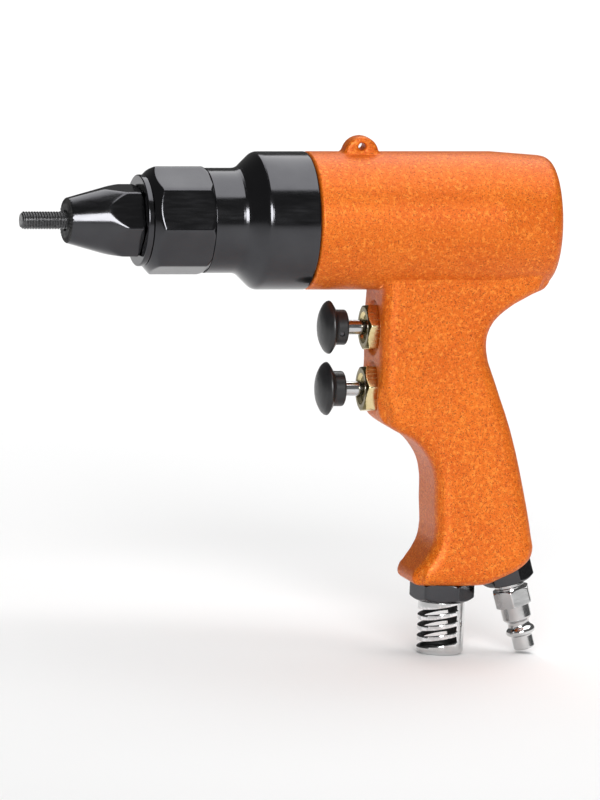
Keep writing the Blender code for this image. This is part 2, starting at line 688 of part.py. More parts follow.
def rotor(parent):
    """Rotor with its journals, the five vane slots and the first sun gear cut on its nose."""
    profile = [(-0.0130, 0.0), (-0.0130, 0.0040), (ROTOR_REAR_X, 0.0040), (ROTOR_REAR_X, ROTOR_RADIUS),
               (ROTOR_FRONT_X, ROTOR_RADIUS), (ROTOR_FRONT_X, 0.0048), (-0.0738, 0.0048),
               (-0.0738, 0.0)]
    core = turned("rotor", profile, along_x(), 20)
    join(core, plate("first_sun", [gear_outline(SUN_TEETH)], -0.0812, -0.0734, along_x()))
    length = ROTOR_REAR_X - ROTOR_FRONT_X + 0.002
    width = VANE_THICKNESS + 2 * GAP
    for number in range(VANE_COUNT):
        slot_centre = ROTOR_RADIUS - (VANE_DEPTH + GAP) / 2 + 0.001
        place = along_x((ROTOR_REAR_X + ROTOR_FRONT_X) / 2, 0.0, slot_centre, vane_angle(number))
        cut(core, block(f"vane_slot_{number + 1}", (VANE_DEPTH + GAP + 0.002, width, length), place))
    finish(core, "tool_steel", parent)


def rotor_vane(number, parent):
    height = ROTOR_RADIUS - VANE_DEPTH / 2 - 0.0002
    place = along_x((ROTOR_REAR_X + ROTOR_FRONT_X) / 2, 0.0, height, vane_angle(number))
    length = ROTOR_REAR_X - ROTOR_FRONT_X - 2 * GAP
    finish(block(f"rotor_vane_{number + 1}", (VANE_DEPTH - GAP, VANE_THICKNESS, length), place),
           "vane_resin", parent)


def motor_cylinder():
    """Liner whose chamber is off centre, with two air ports through its underside."""
    front = ROTOR_FRONT_X - GAP
    rear = ROTOR_REAR_X + GAP
    liner = cylinder("motor_cylinder", CYLINDER_RADIUS, front, rear, along_x(), 28)
    cut(liner, cylinder("chamber", CHAMBER_RADIUS, front - 0.001, rear + 0.001, along_x(z=CHAMBER_RISE), 28))
    cut(liner, passage("liner_port_front", (-0.0560, 0.0, -0.0280), (-0.0560, 0.0, -0.0100), 0.0022))
    cut(liner, passage("liner_port_rear", (-0.0485, 0.0131, -0.0250), (-0.0485, 0.0085, -0.0110), 0.0018))
    finish(liner, "motor_iron")


def end_plates():
    front = [(ROTOR_FRONT_X - 2 * GAP, CYLINDER_RADIUS), (-0.0733, CYLINDER_RADIUS), (-0.0733, 0.0088),
             (-0.0718, 0.0088), (-0.0718, 0.0103), (-0.0660, 0.0103), (-0.0660, 0.0054),
             (ROTOR_FRONT_X - 2 * GAP, 0.0054)]
    finish(turned("front_end_plate", front, along_x(), 20), "motor_iron")
    rear = [(-0.0120, CYLINDER_RADIUS), (ROTOR_REAR_X + 2 * GAP, CYLINDER_RADIUS),
            (ROTOR_REAR_X + 2 * GAP, 0.0046), (-0.0220, 0.0046), (-0.0220, 0.0103), (-0.0120, 0.0103)]
    finish(turned("rear_end_plate", rear, along_x(), 20), "motor_iron")
    washer = ring_profile(BORE_END_X - GAP, -0.0117, 0.0200, 0.0120)
    finish(turned("preload_washer", washer, along_x(), 18), "spring_steel")


def bearing(prefix, rear, front, outer, bore, parent):
    """Outer and inner ring; the outer stays in its seat and the inner turns with the shaft."""
    wall = (outer - bore) * 0.32
    outer_ring = ring_profile(rear, front, outer, outer - wall)
    finish(turned(prefix + "_bearing_outer", outer_ring, along_x(), 16), "tool_steel")
    inner_ring = ring_profile(rear, front, bore + wall, bore)
    finish(turned(prefix + "_bearing_inner", inner_ring, along_x(), 16), "tool_steel", parent)


# ---------------------------------------------------------------- valves
def knob(prefix, z, parent):
    """Mushroom knob with a domed face and a collar behind it that takes the set screw."""
    rim = KNOB_RIM_X
    dome = [(rim - 0.0042, 0.0), (rim - 0.0040, 0.0040), (rim - 0.0032, 0.0075), (rim - 0.0018, 0.0102),
            (rim - 0.0003, KNOB_RADIUS - 0.0002)]
    back = [(rim + 0.0009, KNOB_RADIUS), (rim + 0.0018, KNOB_RADIUS - 0.0012),
            (rim + 0.0026, KNOB_COLLAR_RADIUS),
            (rim + 0.0072, KNOB_COLLAR_RADIUS), (rim + 0.0078, KNOB_COLLAR_RADIUS - 0.0006)]
    hole = [(rim + 0.0078, STEM_RADIUS + 0.0002), (rim + 0.0010, STEM_RADIUS + 0.0002), (rim + 0.0010, 0.0)]
    profile = list(reversed(dome + back + hole))
    piece = turned(prefix + "_button_knob", profile, along_x(z=z), 22)
    centre = Vector((rim + 0.0048, 0.0, z))
    aim = SET_SCREW_AIMS[prefix]
    cut(piece, passage(prefix + "_screw_hole", centre + aim * 0.0100, centre + aim * 0.0020, 0.0012, 10))
    finish(piece, "black_knob", parent)
    screw = passage(prefix + "_knob_set_screw", centre + aim * 0.0070, centre + aim * 0.0036, 0.0009, 10)
    finish(screw, "black_oxide", parent)


def valve_stem(prefix, z, parent):
    """Push stem with two spool lands that slide in the valve bore."""
    land = VALVE_BORE_RADIUS - GAP
    profile = [(-0.0500, 0.0), (-0.0500, land), (-0.0530, land), (-0.0530, STEM_RADIUS),
               (-0.0590, STEM_RADIUS), (-0.0590, land), (-0.0604, land), (-0.0604, 0.0046),
               (-0.0616, 0.0046), (-0.0616, land), (-0.0632, land), (-0.0632, STEM_RADIUS),
               (KNOB_RIM_X + 0.0013, STEM_RADIUS), (KNOB_RIM_X + 0.0013, 0.0)]
    finish(turned(prefix + "_valve_stem", profile, along_x(z=z), 14), "chrome", parent)


def valve_gland(prefix, z):
    """Brass hexagon gland screwed in the grip, dished round the stem."""
    rear = VALVE_SEAT_X - GAP
    gland = polygon_bar(prefix + "_valve_gland", 6, GLAND_FLATS, GLAND_FRONT_X, rear, along_x(z=z),
                        GLAND_TURN)
    corner = GLAND_FLATS / 2 / math.cos(math.pi / 6)
    chamfer = [(rear, 0.0), (rear, corner - 0.0006), (rear - 0.0006, corner + 0.0001),
               (GLAND_FRONT_X + 0.0012, corner + 0.0001), (GLAND_FRONT_X, corner - 0.0018),
               (GLAND_FRONT_X, 0.0)]
    trim(gland, turned(prefix + "_gland_chamfer", chamfer, along_x(z=z), 22))
    join(gland, cylinder(prefix + "_gland_shank", GLAND_THREAD_RADIUS - GAP, rear - 0.001,
                         GLAND_THREAD_END_X - GAP, along_x(z=z), 18))
    bore = [(-0.0630, 0.0), (-0.0630, STEM_RADIUS + GAP), (GLAND_FRONT_X + 0.0012, STEM_RADIUS + GAP),
            (GLAND_FRONT_X + 0.0012, 0.0056), (GLAND_FRONT_X - 0.001, 0.0062), (GLAND_FRONT_X - 0.001, 0.0)]
    cut(gland, turned(prefix + "_gland_bore", bore, along_x(z=z), 16))
    finish(gland, "brass")


def valve_spring(prefix, z):
    """Return spring behind the spool: a helix swept along the valve's axis."""
    start = VALVE_BORE_END_X - GAP - SPRING_WIRE_RADIUS
    end = -0.0500 + GAP + SPRING_WIRE_RADIUS
    coil_radius = VALVE_BORE_RADIUS - GAP - SPRING_WIRE_RADIUS - 0.0004
    per_turn = 8
    count = SPRING_TURNS * per_turn + 1
    curve = bpy.data.curves.new(prefix + "_valve_spring", "CURVE")
    curve.dimensions = "3D"
    curve.bevel_depth = SPRING_WIRE_RADIUS
    curve.bevel_resolution = 1
    curve.use_fill_caps = True
    spline = curve.splines.new("POLY")
    spline.points.add(count - 1)
    for i, point in enumerate(spline.points):
        angle = 2 * math.pi * i / per_turn
        height = start + (end - start) * i / (count - 1)
        point.co = (coil_radius * math.cos(angle), coil_radius * math.sin(angle), height, 1.0)
    finish(solid_from_curve(new_object(prefix + "_valve_spring", curve, along_x(z=z))), "spring_steel")


# ---------------------------------------------------------------- air fittings
def exhaust_bushing():
    top = GRIP_BOTTOM_Z - GAP
    bottom = EXHAUST_BUSHING_END_Z
    place = upright(EXHAUST_X, 0.0, 0.0, -OUTLET_TURN)
    bushing = polygon_bar("exhaust_bushing", 6, EXHAUST_FLATS, bottom, top, place)
    corner = EXHAUST_FLATS / 2 / math.cos(math.pi / 6)
    chamfer = [(top, 0.0), (top, corner - 0.0010), (top - 0.0008, corner + 0.0001),
               (bottom + 0.0016, corner + 0.0001), (bottom, corner - 0.0026), (bottom, 0.0)]
    trim(bushing, turned("exhaust_chamfer", chamfer, upright(EXHAUST_X, 0.0, 0.0), 22))
    join(bushing, cylinder("exhaust_thread", EXHAUST_THREAD_RADIUS - GAP, top - 0.001,
                           GRIP_BOTTOM_Z + EXHAUST_THREAD_LENGTH,
                           place, 18))
    cut(bushing, cylinder("exhaust_hole", 0.0060, -0.1700, -0.1490, place, 14))
    finish(bushing, "black_oxide")


def exhaust_muffler():
    """Tube closed at the bottom, with slanted slots sawn in from the nose side."""
    top = MUFFLER_TOP_Z
    end = MUFFLER_END_Z
    round_edge = arc(end + MUFFLER_EDGE, MUFFLER_RADIUS - MUFFLER_EDGE, MUFFLER_EDGE, 90, 180, 3)
    profile = [(top, 0.0), (top, MUFFLER_RADIUS)] + round_edge + [(end, 0.0)]
    place = upright(EXHAUST_X, 0.0, 0.0)
    tube = turned("exhaust_muffler", profile, place, 26)
    cut(tube, cylinder("muffler_bore", MUFFLER_RADIUS - MUFFLER_WALL, end + 0.0022, top + 0.001, place, 20))
    for number in range(SLOT_COUNT):
        z = top - 0.0018 - SLOT_WIDTH / 2 - number * SLOT_PITCH
        slant = Matrix.Rotation(-SLOT_SLANT, 4, "Y")
        centre = Matrix.Translation((EXHAUST_X, 0.0, z)) @ slant
        size = (0.020, 0.030, SLOT_WIDTH)
        offset = Matrix.Translation((SLOT_REACH - size[0] / 2, 0.0, 0.0))
        cut(tube, block(f"muffler_slot_{number + 1}", size, centre @ offset))
    finish(tube, "chrome")


def inlet_bushing():
    """Hexagon bushing sunk in its spot face, bored and tapped for the plug."""
    top = INLET_SEAT - GAP
    bottom = BUSHING_END
    place = on_inlet(-OUTLET_TURN)
    bushing = polygon_bar("inlet_bushing", 6, INLET_FLATS, bottom, top, place)
    corner = INLET_FLATS / 2 / math.cos(math.pi / 6)
    chamfer = [(top, 0.0), (top, corner + 0.0001), (bottom + 0.0014, corner + 0.0001),
               (bottom, corner - 0.0022), (bottom, 0.0)]
    trim(bushing, turned("inlet_chamfer", chamfer, on_inlet(), 22))
    join(bushing, cylinder("inlet_thread", 0.0077, top - 0.001, 0.0120, place, 18))
    bore = [(0.0130, 0.0), (0.0130, 0.0058), (0.0095, 0.0058), (0.0095, 0.0040), (0.0030, 0.0040),
            (0.0030, 0.0061), (-0.0120, 0.0061), (-0.0120, 0.0)]
    cut(bushing, turned("inlet_bushing_bore", bore, on_inlet(), 16))
    finish(bushing, "black_oxide")


def inlet_screen():
    """Cupped strainer seated in the bushing's upper counterbore."""
    profile = [(0.0119, 0.0), (0.0119, 0.0055), (0.0098, 0.0055), (0.0098, 0.0)]
    screen = turned("inlet_screen", profile, on_inlet(), 16)
    cut(screen, cylinder("screen_cup", 0.0042, 0.0090, 0.0112, on_inlet(), 16))
    finish(screen, "bronze")


def air_plug():
    """Male quick-connect plug: thread, hexagon, body, neck, locking bead and tip."""
    top = PLUG_TOP
    place = on_inlet(-OUTLET_TURN + math.pi / 6)
    body = [
        (0.0020, 0.0), (0.0020, 0.0058), (BUSHING_END - GAP, 0.0058), (BUSHING_END - GAP, 0.0066),
        (top - 0.0010, 0.0066), (top - 0.0070, 0.0063),
        (top - 0.0083, 0.0063), (top - 0.0138, 0.0063), (top - 0.0148, 0.0047), (top - 0.0172, 0.0047),
        (top - 0.0186, 0.0063), (top - 0.0202, 0.0063), (top - 0.0214, 0.0046), (top - 0.0268, 0.0046),
        (top - 0.0274, 0.0040), (top - 0.0274, 0.0),
    ]
    plug = turned("air_plug", body, on_inlet(), 20)
    hexagon = polygon_bar("plug_hexagon", 6, PLUG_FLATS, top - PLUG_HEXAGON_LENGTH, top, place)
    corner = PLUG_FLATS / 2 / math.cos(math.pi / 6)
    chamfer = [(top + 0.0010, 0.0), (top + 0.0010, corner - 0.0018), (top - 0.0008, corner + 0.0001),
               (top - 0.0067, corner + 0.0001), (top - 0.0085, corner - 0.0018), (top - 0.0085, 0.0)]
    trim(hexagon, turned("plug_chamfer", chamfer, on_inlet(), 20))
    join(plug, hexagon)
    cut(plug, cylinder("plug_hole", PLUG_BORE_RADIUS, top - 0.0300, 0.0050, on_inlet(), 12))
    finish(plug, "chrome")


# ---------------------------------------------------------------- assembly
def build():
    spindle_axis = axis_empty("spindle_axis", 0.0, 0.0, 0.0)
    body_housing()
    gear_case()
    nose_sleeve()
    jam_ring()
    nosepiece(spindle_axis)
    o_ring("nosepiece_o_ring", along_x(), -0.1768, 0.01125, 0.0007)
    mandrel(spindle_axis)
    mandrel_thrust_washer()
    spindle(spindle_axis)
    finish(turned("spindle_bush", ring_profile(-0.1333, -0.1442, 0.0102, 0.0082), along_x(), 16), "bronze")
    bearing("spindle", -0.1135, -0.1212, 0.0132, 0.0080, spindle_axis)
    ring_gear()
    first_carrier(spindle_axis)
    for number, angle in enumerate(PLANET_ANGLES, 1):
        planet(f"first_planet_{number}", angle, -0.0812, -0.0742)
        planet(f"second_planet_{number}", angle, -0.0940, -0.0862)
    rotor(spindle_axis)
    for number in range(VANE_COUNT):
        rotor_vane(number, spindle_axis)
    motor_cylinder()
    end_plates()
    bearing("front", -0.0663, -0.0715, 0.0100, 0.0051, spindle_axis)
    bearing("rear", -0.0133, -0.0217, 0.0100, 0.0043, spindle_axis)
    for prefix, z in VALVES.items():
        button_axis = axis_empty(prefix + "_button_axis", KNOB_RIM_X, 0.0, z)
        knob(prefix, z, button_axis)
        valve_stem(prefix, z, button_axis)
        valve_gland(prefix, z)
        valve_spring(prefix, z)
        o_ring(prefix + "_valve_o_ring", along_x(z=z), -0.0610, 0.00515, 0.00045)
    exhaust_bushing()
    exhaust_muffler()
    inlet_bushing()
    inlet_screen()
    air_plug()


build()
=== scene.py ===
"""Looks of the rivet-nut gun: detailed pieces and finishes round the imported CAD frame."""

import json
import math

import bmesh
import bpy
import numpy as np
from mathutils import Matrix, Vector


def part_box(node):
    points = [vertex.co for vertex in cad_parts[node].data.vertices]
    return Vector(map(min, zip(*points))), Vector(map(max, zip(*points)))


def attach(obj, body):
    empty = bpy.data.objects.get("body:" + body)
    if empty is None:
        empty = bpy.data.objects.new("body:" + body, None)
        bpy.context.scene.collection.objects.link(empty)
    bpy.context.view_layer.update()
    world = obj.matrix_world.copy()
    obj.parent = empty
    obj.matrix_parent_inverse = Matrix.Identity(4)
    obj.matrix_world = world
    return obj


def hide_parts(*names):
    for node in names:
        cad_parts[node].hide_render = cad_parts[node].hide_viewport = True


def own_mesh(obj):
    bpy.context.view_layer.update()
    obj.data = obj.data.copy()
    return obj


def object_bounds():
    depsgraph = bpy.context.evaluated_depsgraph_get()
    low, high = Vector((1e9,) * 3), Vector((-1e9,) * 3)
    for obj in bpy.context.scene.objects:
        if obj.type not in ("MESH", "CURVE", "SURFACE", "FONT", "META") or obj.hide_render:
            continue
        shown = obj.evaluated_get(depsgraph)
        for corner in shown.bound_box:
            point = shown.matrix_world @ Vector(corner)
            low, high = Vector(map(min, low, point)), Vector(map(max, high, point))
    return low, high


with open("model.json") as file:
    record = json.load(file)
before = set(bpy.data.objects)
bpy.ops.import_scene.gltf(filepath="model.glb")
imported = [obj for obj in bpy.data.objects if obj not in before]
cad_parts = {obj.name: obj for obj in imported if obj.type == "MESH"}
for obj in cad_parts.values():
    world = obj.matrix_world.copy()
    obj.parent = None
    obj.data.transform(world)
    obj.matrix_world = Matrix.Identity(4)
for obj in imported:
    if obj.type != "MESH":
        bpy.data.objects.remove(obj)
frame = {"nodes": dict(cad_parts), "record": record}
cad_low, cad_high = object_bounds()

MM = 0.001
QUARTER = math.pi / 2
SCENE = bpy.context.scene

# ---------------------------------------------------------------- driving dimensions
# Mesh density and the way flats are cut
CORNER_STEPS = 4                  # segments in each eased corner of a profile
CORNER_SHARE = 0.48               # an easing takes less than half of the run beside it
SUPPORT = 0.12 * MM               # rows of points this close to a corner keep the flats flat
SHARPNESS = 90.0                  # how tightly flats meet each other and the turned shape
CORE = 0.5 * MM                   # flats leave the points this close to the axis alone
FLAT_STEP = 0.5 * MM              # rows of points along a piece with flats
GAP = 0.3 * MM                    # clearance between pieces that sit in each other

# Barrel of the casting
TAPER_START_X, TAPER_END_X = -27.0 * MM, -5.0 * MM
REAR_RADIUS = 28.4 * MM
REAR_EDGE_X = -5.5 * MM           # behind this the rear edge keeps its own rounding
SMOOTH_ROUNDS = 14

# Gear case and sleeve nut
RING_LENGTH = 23.1 * MM           # the case's big ring
FLARE_LENGTH = 7.6 * MM           # from the ring down to the neck
SOCKET_RADIUS = 24.7 * MM         # the case's back end, inside the casting
NECK_RADIUS = 22.9 * MM
SPIGOT_RADIUS = 17.0 * MM         # the case's front end, inside the sleeve nut
CASE_BORES = {"mouth": 12.4 * MM, "bush": 10.5 * MM, "waist": 8.5 * MM, "bearing": 13.5 * MM,
              "carriers": 19.0 * MM}
SLEEVE_FLATS = 44.6 * MM
SLEEVE_TURN = math.radians(24.5)
SLEEVE_REAR_CHAMFER, SLEEVE_FRONT_CHAMFER = 2.2 * MM, 4.2 * MM
THROAT_RADIUS = 12.3 * MM         # what the nosepiece's shank turns in

# Nosepiece and mandrel
NOSE_FLATS = 28.9 * MM
NOSE_TURN = math.radians(64.5)
NOSE_CONE_X = -193.0 * MM         # the cone leaves the hexagon's corners here
SHANK_RADIUS = 12.0 * MM
SHANK_GROOVE_RADIUS = 10.4 * MM
SHANK_GROOVE_X = (-175.8 * MM, -177.8 * MM)
COUNTERBORE_RADIUS = 9.2 * MM
COUNTERBORE_END_X = -175.2 * MM
STUD_HOLE_RADIUS = 4.6 * MM
SERRATIONS = 36
SERRATION_RISE, SERRATION_CUT = 0.40 * MM, 0.12 * MM
CREST_RADIUS = 3.9 * MM           # M8 thread
THREAD_DEPTH = 0.62 * MM
THREAD_PITCH = 1.25 * MM
THREAD_LENGTH = 30.0 * MM
HEAD_RADIUS = 6.6 * MM            # the mandrel's driven head, behind its washer
HEAD_FLATS = 12.0 * MM

# Valves
KNOB_DEPTH = 4.2 * MM             # from the cap's crown to its rim
COLLAR_RADIUS = 7.7 * MM
COLLAR_LENGTH = 7.8 * MM
SET_SCREW_HOLE_RADIUS = 1.2 * MM
STEM_RADIUS = 3.2 * MM
STEM_CLEARANCE = 0.3 * MM
LAND_RADIUS = 5.7 * MM            # the spool's lands, with its waist between them
WAIST_X = (-53.0 * MM, -59.0 * MM)
LAND_FRONT_X = -63.2 * MM
LAND_GROOVE_X = (-60.4 * MM, -61.6 * MM)
LAND_GROOVE_RADIUS = 4.6 * MM
GLAND_FLATS = 19.0 * MM
GLAND_TURN = math.radians(49.0)
GLAND_LENGTH = 5.8 * MM           # the hexagon, in front of the thread
GLAND_THREAD_RADIUS = 6.7 * MM
SPRING_WIRE_RADIUS = 0.38 * MM
SPRING_TURNS = 4
SPRING_STEPS = 32                 # points in each turn

# Exhaust; the outlets' hexagons are turned to face the camera
OUTLET_TURN = math.radians(15.5)
EXHAUST_FLATS = 24.7 * MM
EXHAUST_THREAD_LENGTH = 8.8 * MM
EXHAUST_THREAD_RADIUS = 9.7 * MM
EXHAUST_BORE_RADIUS = 6.0 * MM
MUFFLER_RADIUS = 10.2 * MM
MUFFLER_WALL = 1.6 * MM
MUFFLER_FLOOR = 2.2 * MM
SLOT_COUNT = 4
SLOT_WIDTH = 2.7 * MM
SLOT_PITCH = 4.66 * MM
SLOT_MARGIN = 1.8 * MM            # from the muffler's top to its first slot
SLOT_SLANT = math.radians(11.0)
SLOT_REACH = 5.3 * MM             # the saw stops this far behind the muffler's axis
SAW = (20.0 * MM, 30.0 * MM)      # bigger than the muffler both ways

# Air inlet, in heights up its tilted axis from the plug's end
INLET_FLATS = 20.0 * MM
INLET_BOTTOM, INLET_SEAT, INLET_TOP = 30.3 * MM, 39.5 * MM, 49.5 * MM
INLET_THREAD_RADIUS = 7.7 * MM
INLET_SOCKET_RADIUS = 6.1 * MM    # takes the plug
INLET_SOCKET_END = 40.5 * MM
INLET_PASSAGE_RADIUS = 4.0 * MM
SCREEN_SEAT, SCREEN_RADIUS = 47.0 * MM, 5.8 * MM
PLUG_TOP = 39.5 * MM
PLUG_THREAD_RADIUS = 5.8 * MM
PLUG_FLATS = 15.4 * MM
PLUG_HEX_TOP, PLUG_HEX_LENGTH = 27.4 * MM, 7.5 * MM
PLUG_BORE_RADIUS = 2.7 * MM

# Camera, at the photograph's viewing angle
CAMERA_YAW = math.radians(15.5)
CAMERA_PITCH = math.radians(8.5)
CAMERA_DISTANCE = 3.0
PICTURE_HEIGHT = 0.3478
PICTURE_MIDDLE = (-0.1083, -0.0781)    # from the origin, in the picture's own plane


# ---------------------------------------------------------------- placing
def along_x(x=0.0, y=0.0, z=0.0):
    """Local +Z on world +X, local +X on world -Z."""
    return Matrix.Translation((x, y, z)) @ Matrix.Rotation(QUARTER, 4, "Y")


def upright(x, y, z, turn=0.0):
    return Matrix.Translation((x, y, z)) @ Matrix.Rotation(turn, 4, "Z")


def centre_of(node):
    low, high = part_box(node)
    return (low + high) / 2


# ---------------------------------------------------------------- shape makers
def eased(profile, closed, step):
    """Profile of (z, r, ease) as a dense line: corners rounded by their ease, runs divided."""
    corners = [Vector((z, r)) for z, r, ease in profile]
    count = len(corners)
    line = []
    for i, corner in enumerate(corners):
        ease = profile[i][2]
        if ease <= 0.0 or (not closed and i in (0, count - 1)):
            line.append(corner)
            continue
        before = corners[i - 1] - corner
        after = corners[(i + 1) % count] - corner
        reach = min(ease, before.length * CORNER_SHARE, after.length * CORNER_SHARE)
        start = corner + before.normalized() * reach
        end = corner + after.normalized() * reach
        for k in range(CORNER_STEPS + 1):
            t = k / CORNER_STEPS
            line.append(start * (1 - t) ** 2 + corner * (2 * t * (1 - t)) + end * t * t)
    dense = []
    for i in range(len(line) if closed else len(line) - 1):
        a, b = line[i], line[(i + 1) % len(line)]
        run = (b - a).length
        dense.append(a)
        if run > 4 * SUPPORT:
            cells = max(1, math.ceil(run / step))
            marks = [SUPPORT / run, 1 - SUPPORT / run] + [k / cells for k in range(1, cells)]
            dense.extend(a.lerp(b, mark) for mark in sorted(marks))
    if not closed:
        dense.append(line[-1])
    return dense


def flatted(radius, phi, sides, flats, turn):
    """Radii cut by the flats of a regular bar; one flat's centre is at the angle turn."""
    centres = turn + np.arange(sides) * 2 * math.pi / sides
    reach = np.maximum(np.cos(phi[None, :] - centres[:, None]), 1e-3) / (flats / 2 / MM)
    planes = (reach ** SHARPNESS).sum(0)[None, :]
    own = np.maximum(radius, CORE) / MM
    cut = (own ** -SHARPNESS + planes) ** (-1 / SHARPNESS) * MM
    return np.where(radius > CORE, cut, radius)


def corner_radius(sides, flats):
    """Distance from the axis of a regular bar to its corners."""
    return flats / 2 / math.cos(math.pi / sides)


def revolve(name, place, profile, steps=96, sides=0, flats=0.0, turn=0.0, step=4 * MM, warp=None):
    """Turned piece, with flats milled on it where sides is given, as one closed mesh."""
    closed = profile[0][1] > 0.0
    line = eased(profile, closed, step)
    z = np.array([p.x for p in line])
    r = np.array([p.y for p in line])
    phi = np.arange(steps) * 2 * math.pi / steps
    radius = np.repeat(r[:, None], steps, axis=1)
    height = np.repeat(z[:, None], steps, axis=1)
    if sides:
        radius = flatted(radius, phi, sides, flats, turn)
    if warp:
        height, radius = warp(height, radius, phi[None, :])
    shape = bmesh.new()
    rings = []
    for i in range(len(line)):
        if r[i] <= 1e-9:
            rings.append([shape.verts.new((0.0, 0.0, z[i]))] * steps)
            continue
        across, deep = radius[i] * np.cos(phi), radius[i] * np.sin(phi)
        rings.append([shape.verts.new(point) for point in zip(across, deep, height[i])])
    pairs = list(zip(rings, rings[1:]))
    if closed:
        pairs.append((rings[-1], rings[0]))
    for first, second in pairs:
        for j in range(steps):
            k = (j + 1) % steps
            around = []
            for vert in (first[j], first[k], second[k], second[j]):
                if vert not in around:
                    around.append(vert)
            if len(around) > 2:
                shape.faces.new(around)
    bmesh.ops.recalc_face_normals(shape, faces=shape.faces)
    return finish_mesh(name, shape, place)


def finish_mesh(name, shape, place):
    mesh = bpy.data.meshes.new(name)
    shape.transform(place)
    shape.to_mesh(mesh)
    shape.free()
    mesh.shade_smooth()
    piece = bpy.data.objects.new(name, mesh)
    SCENE.collection.objects.link(piece)
    return piece


def box_cutter(size, place):
    shape = bmesh.new()
    bmesh.ops.create_cube(shape, size=1.0)
    bmesh.ops.scale(shape, verts=shape.verts, vec=size)
    return finish_mesh("cutter", shape, place)


def rod_cutter(radius, length, place):
    shape = bmesh.new()
    bmesh.ops.create_cone(shape, cap_ends=True, segments=32, radius1=radius, radius2=radius, depth=length)
    return finish_mesh("cutter", shape, place)


def carve(piece, cutters, edge):
    """Cut shapes out of a piece, ease the new edges, and keep the result as a plain mesh."""
    for cutter in cutters:
        boolean = piece.modifiers.new("carve", "BOOLEAN")
        boolean.operation = "DIFFERENCE"
        boolean.solver = "EXACT"
        boolean.object = cutter
    if edge:
        bevel = piece.modifiers.new("edge", "BEVEL")
        bevel.width = edge
        bevel.segments = 2
        bevel.limit_method = "ANGLE"
        bevel.angle_limit = math.radians(50)
    settle(piece)
    for cutter in cutters:
        bpy.data.objects.remove(cutter, do_unlink=True)
    piece.data.set_sharp_from_angle(angle=math.radians(40))
    return piece


def settle(piece):
    """Replace a piece's mesh by the result of its modifiers."""
    bpy.context.view_layer.update()
    graph = bpy.context.evaluated_depsgraph_get()
    made = bpy.data.meshes.new_from_object(piece.evaluated_get(graph))
    piece.modifiers.clear()
    piece.data = made
    made.shade_smooth()


# ---------------------------------------------------------------- finishes
def link(tree, source, target):
    tree.links.new(source, target)


def noise(tree, coords, scale, detail=4.0, stretch=None):
    """Noise texture's factor; stretch squeezes the coordinates along each axis."""
    if stretch:
        mapping = tree.nodes.new("ShaderNodeMapping")
        mapping.inputs["Scale"].default_value = stretch
        link(tree, coords, mapping.inputs["Vector"])
        coords = mapping.outputs["Vector"]
    texture = tree.nodes.new("ShaderNodeTexNoise")
    texture.inputs["Scale"].default_value = scale
    texture.inputs["Detail"].default_value = detail
    link(tree, coords, texture.inputs["Vector"])
    return texture.outputs["Fac"]


def ranged(tree, value, low, high, to_low=0.0, to_high=1.0):
    node = tree.nodes.new("ShaderNodeMapRange")
    node.inputs["From Min"].default_value = low
    node.inputs["From Max"].default_value = high
    node.inputs["To Min"].default_value = to_low
    node.inputs["To Max"].default_value = to_high
    link(tree, value, node.inputs["Value"])
    return node.outputs["Result"]


def times(tree, a, b):
    node = tree.nodes.new("ShaderNodeMath")
    node.operation = "MULTIPLY"
    link(tree, a, node.inputs[0])
    link(tree, b, node.inputs[1])
    return node.outputs["Value"]


def mixed(tree, factor, first, second):
    """Mix two colours; each is a socket or three numbers."""
    node = tree.nodes.new("ShaderNodeMix")
    node.data_type = "RGBA"
    link(tree, factor, node.inputs["Factor"])
    for key, value in (("A", first), ("B", second)):
        socket = next(s for s in node.inputs if s.name == key and s.type == "RGBA")
        if isinstance(value, tuple):
            socket.default_value = (*value, 1.0)
        else:
            link(tree, value, socket)
    return next(s for s in node.outputs if s.type == "RGBA")


def bumped(tree, height, strength, distance, normal=None):
    node = tree.nodes.new("ShaderNodeBump")
    node.inputs["Strength"].default_value = strength
    node.inputs["Distance"].default_value = distance
    link(tree, height, node.inputs["Height"])
    if normal is not None:
        link(tree, normal, node.inputs["Normal"])
    return node.outputs["Normal"]


def material(name, tones, rough, metallic, cloud, grain, bump, wear_and_highlight=None, stretch=None, specks=(),
             shine=0.5):
    """Procedural finish.

    tones are two colours that drift over the surface, rough the range of roughness, cloud and
    grain the scales of the coarse and the fine noise, bump its (strength, depth), the edge
    wear-and-highlight entry the (colour, low, high) of a colour laid on sharp edges, which is rubbed
    wear and, on black_oxide, a painted edge highlight as well, specks a list of (colour, scale, low,
    high), and shine the strength of the reflection that isn't metallic.
    """
    made = bpy.data.materials.new(name)
    made.use_nodes = True
    tree = made.node_tree
    shader = tree.nodes["Principled BSDF"]
    shader.inputs["Metallic"].default_value = metallic
    shader.inputs["Specular IOR Level"].default_value = shine
    coords = tree.nodes.new("ShaderNodeTexCoord").outputs["Object"]
    coarse = noise(tree, coords, cloud, 3.0)
    fine = noise(tree, coords, grain, 5.0, stretch)
    colour = mixed(tree, ranged(tree, coarse, 0.35, 0.65), tones[0], tones[1])
    for speck_colour, scale, low, high in specks:
        spots = noise(tree, coords, scale, 2.0)
        colour = mixed(tree, ranged(tree, spots, low, high), colour, speck_colour)
    # Lighter colour on sharp edges, by pointiness: rubbed wear, and on black_oxide also a painted edge
    # highlight.
    if wear_and_highlight:
        wear_and_highlight_colour, low, high = wear_and_highlight
        edges = ranged(tree, tree.nodes.new("ShaderNodeNewGeometry").outputs["Pointiness"], low, high)
        patchy = ranged(tree, noise(tree, coords, cloud * 6), 0.35, 0.60)
        colour = mixed(tree, times(tree, edges, patchy), colour, wear_and_highlight_colour)
    link(tree, colour, shader.inputs["Base Color"])
    link(tree, ranged(tree, fine, 0.3, 0.7, *rough), shader.inputs["Roughness"])
    link(tree, bumped(tree, fine, *bump), shader.inputs["Normal"])
    return made


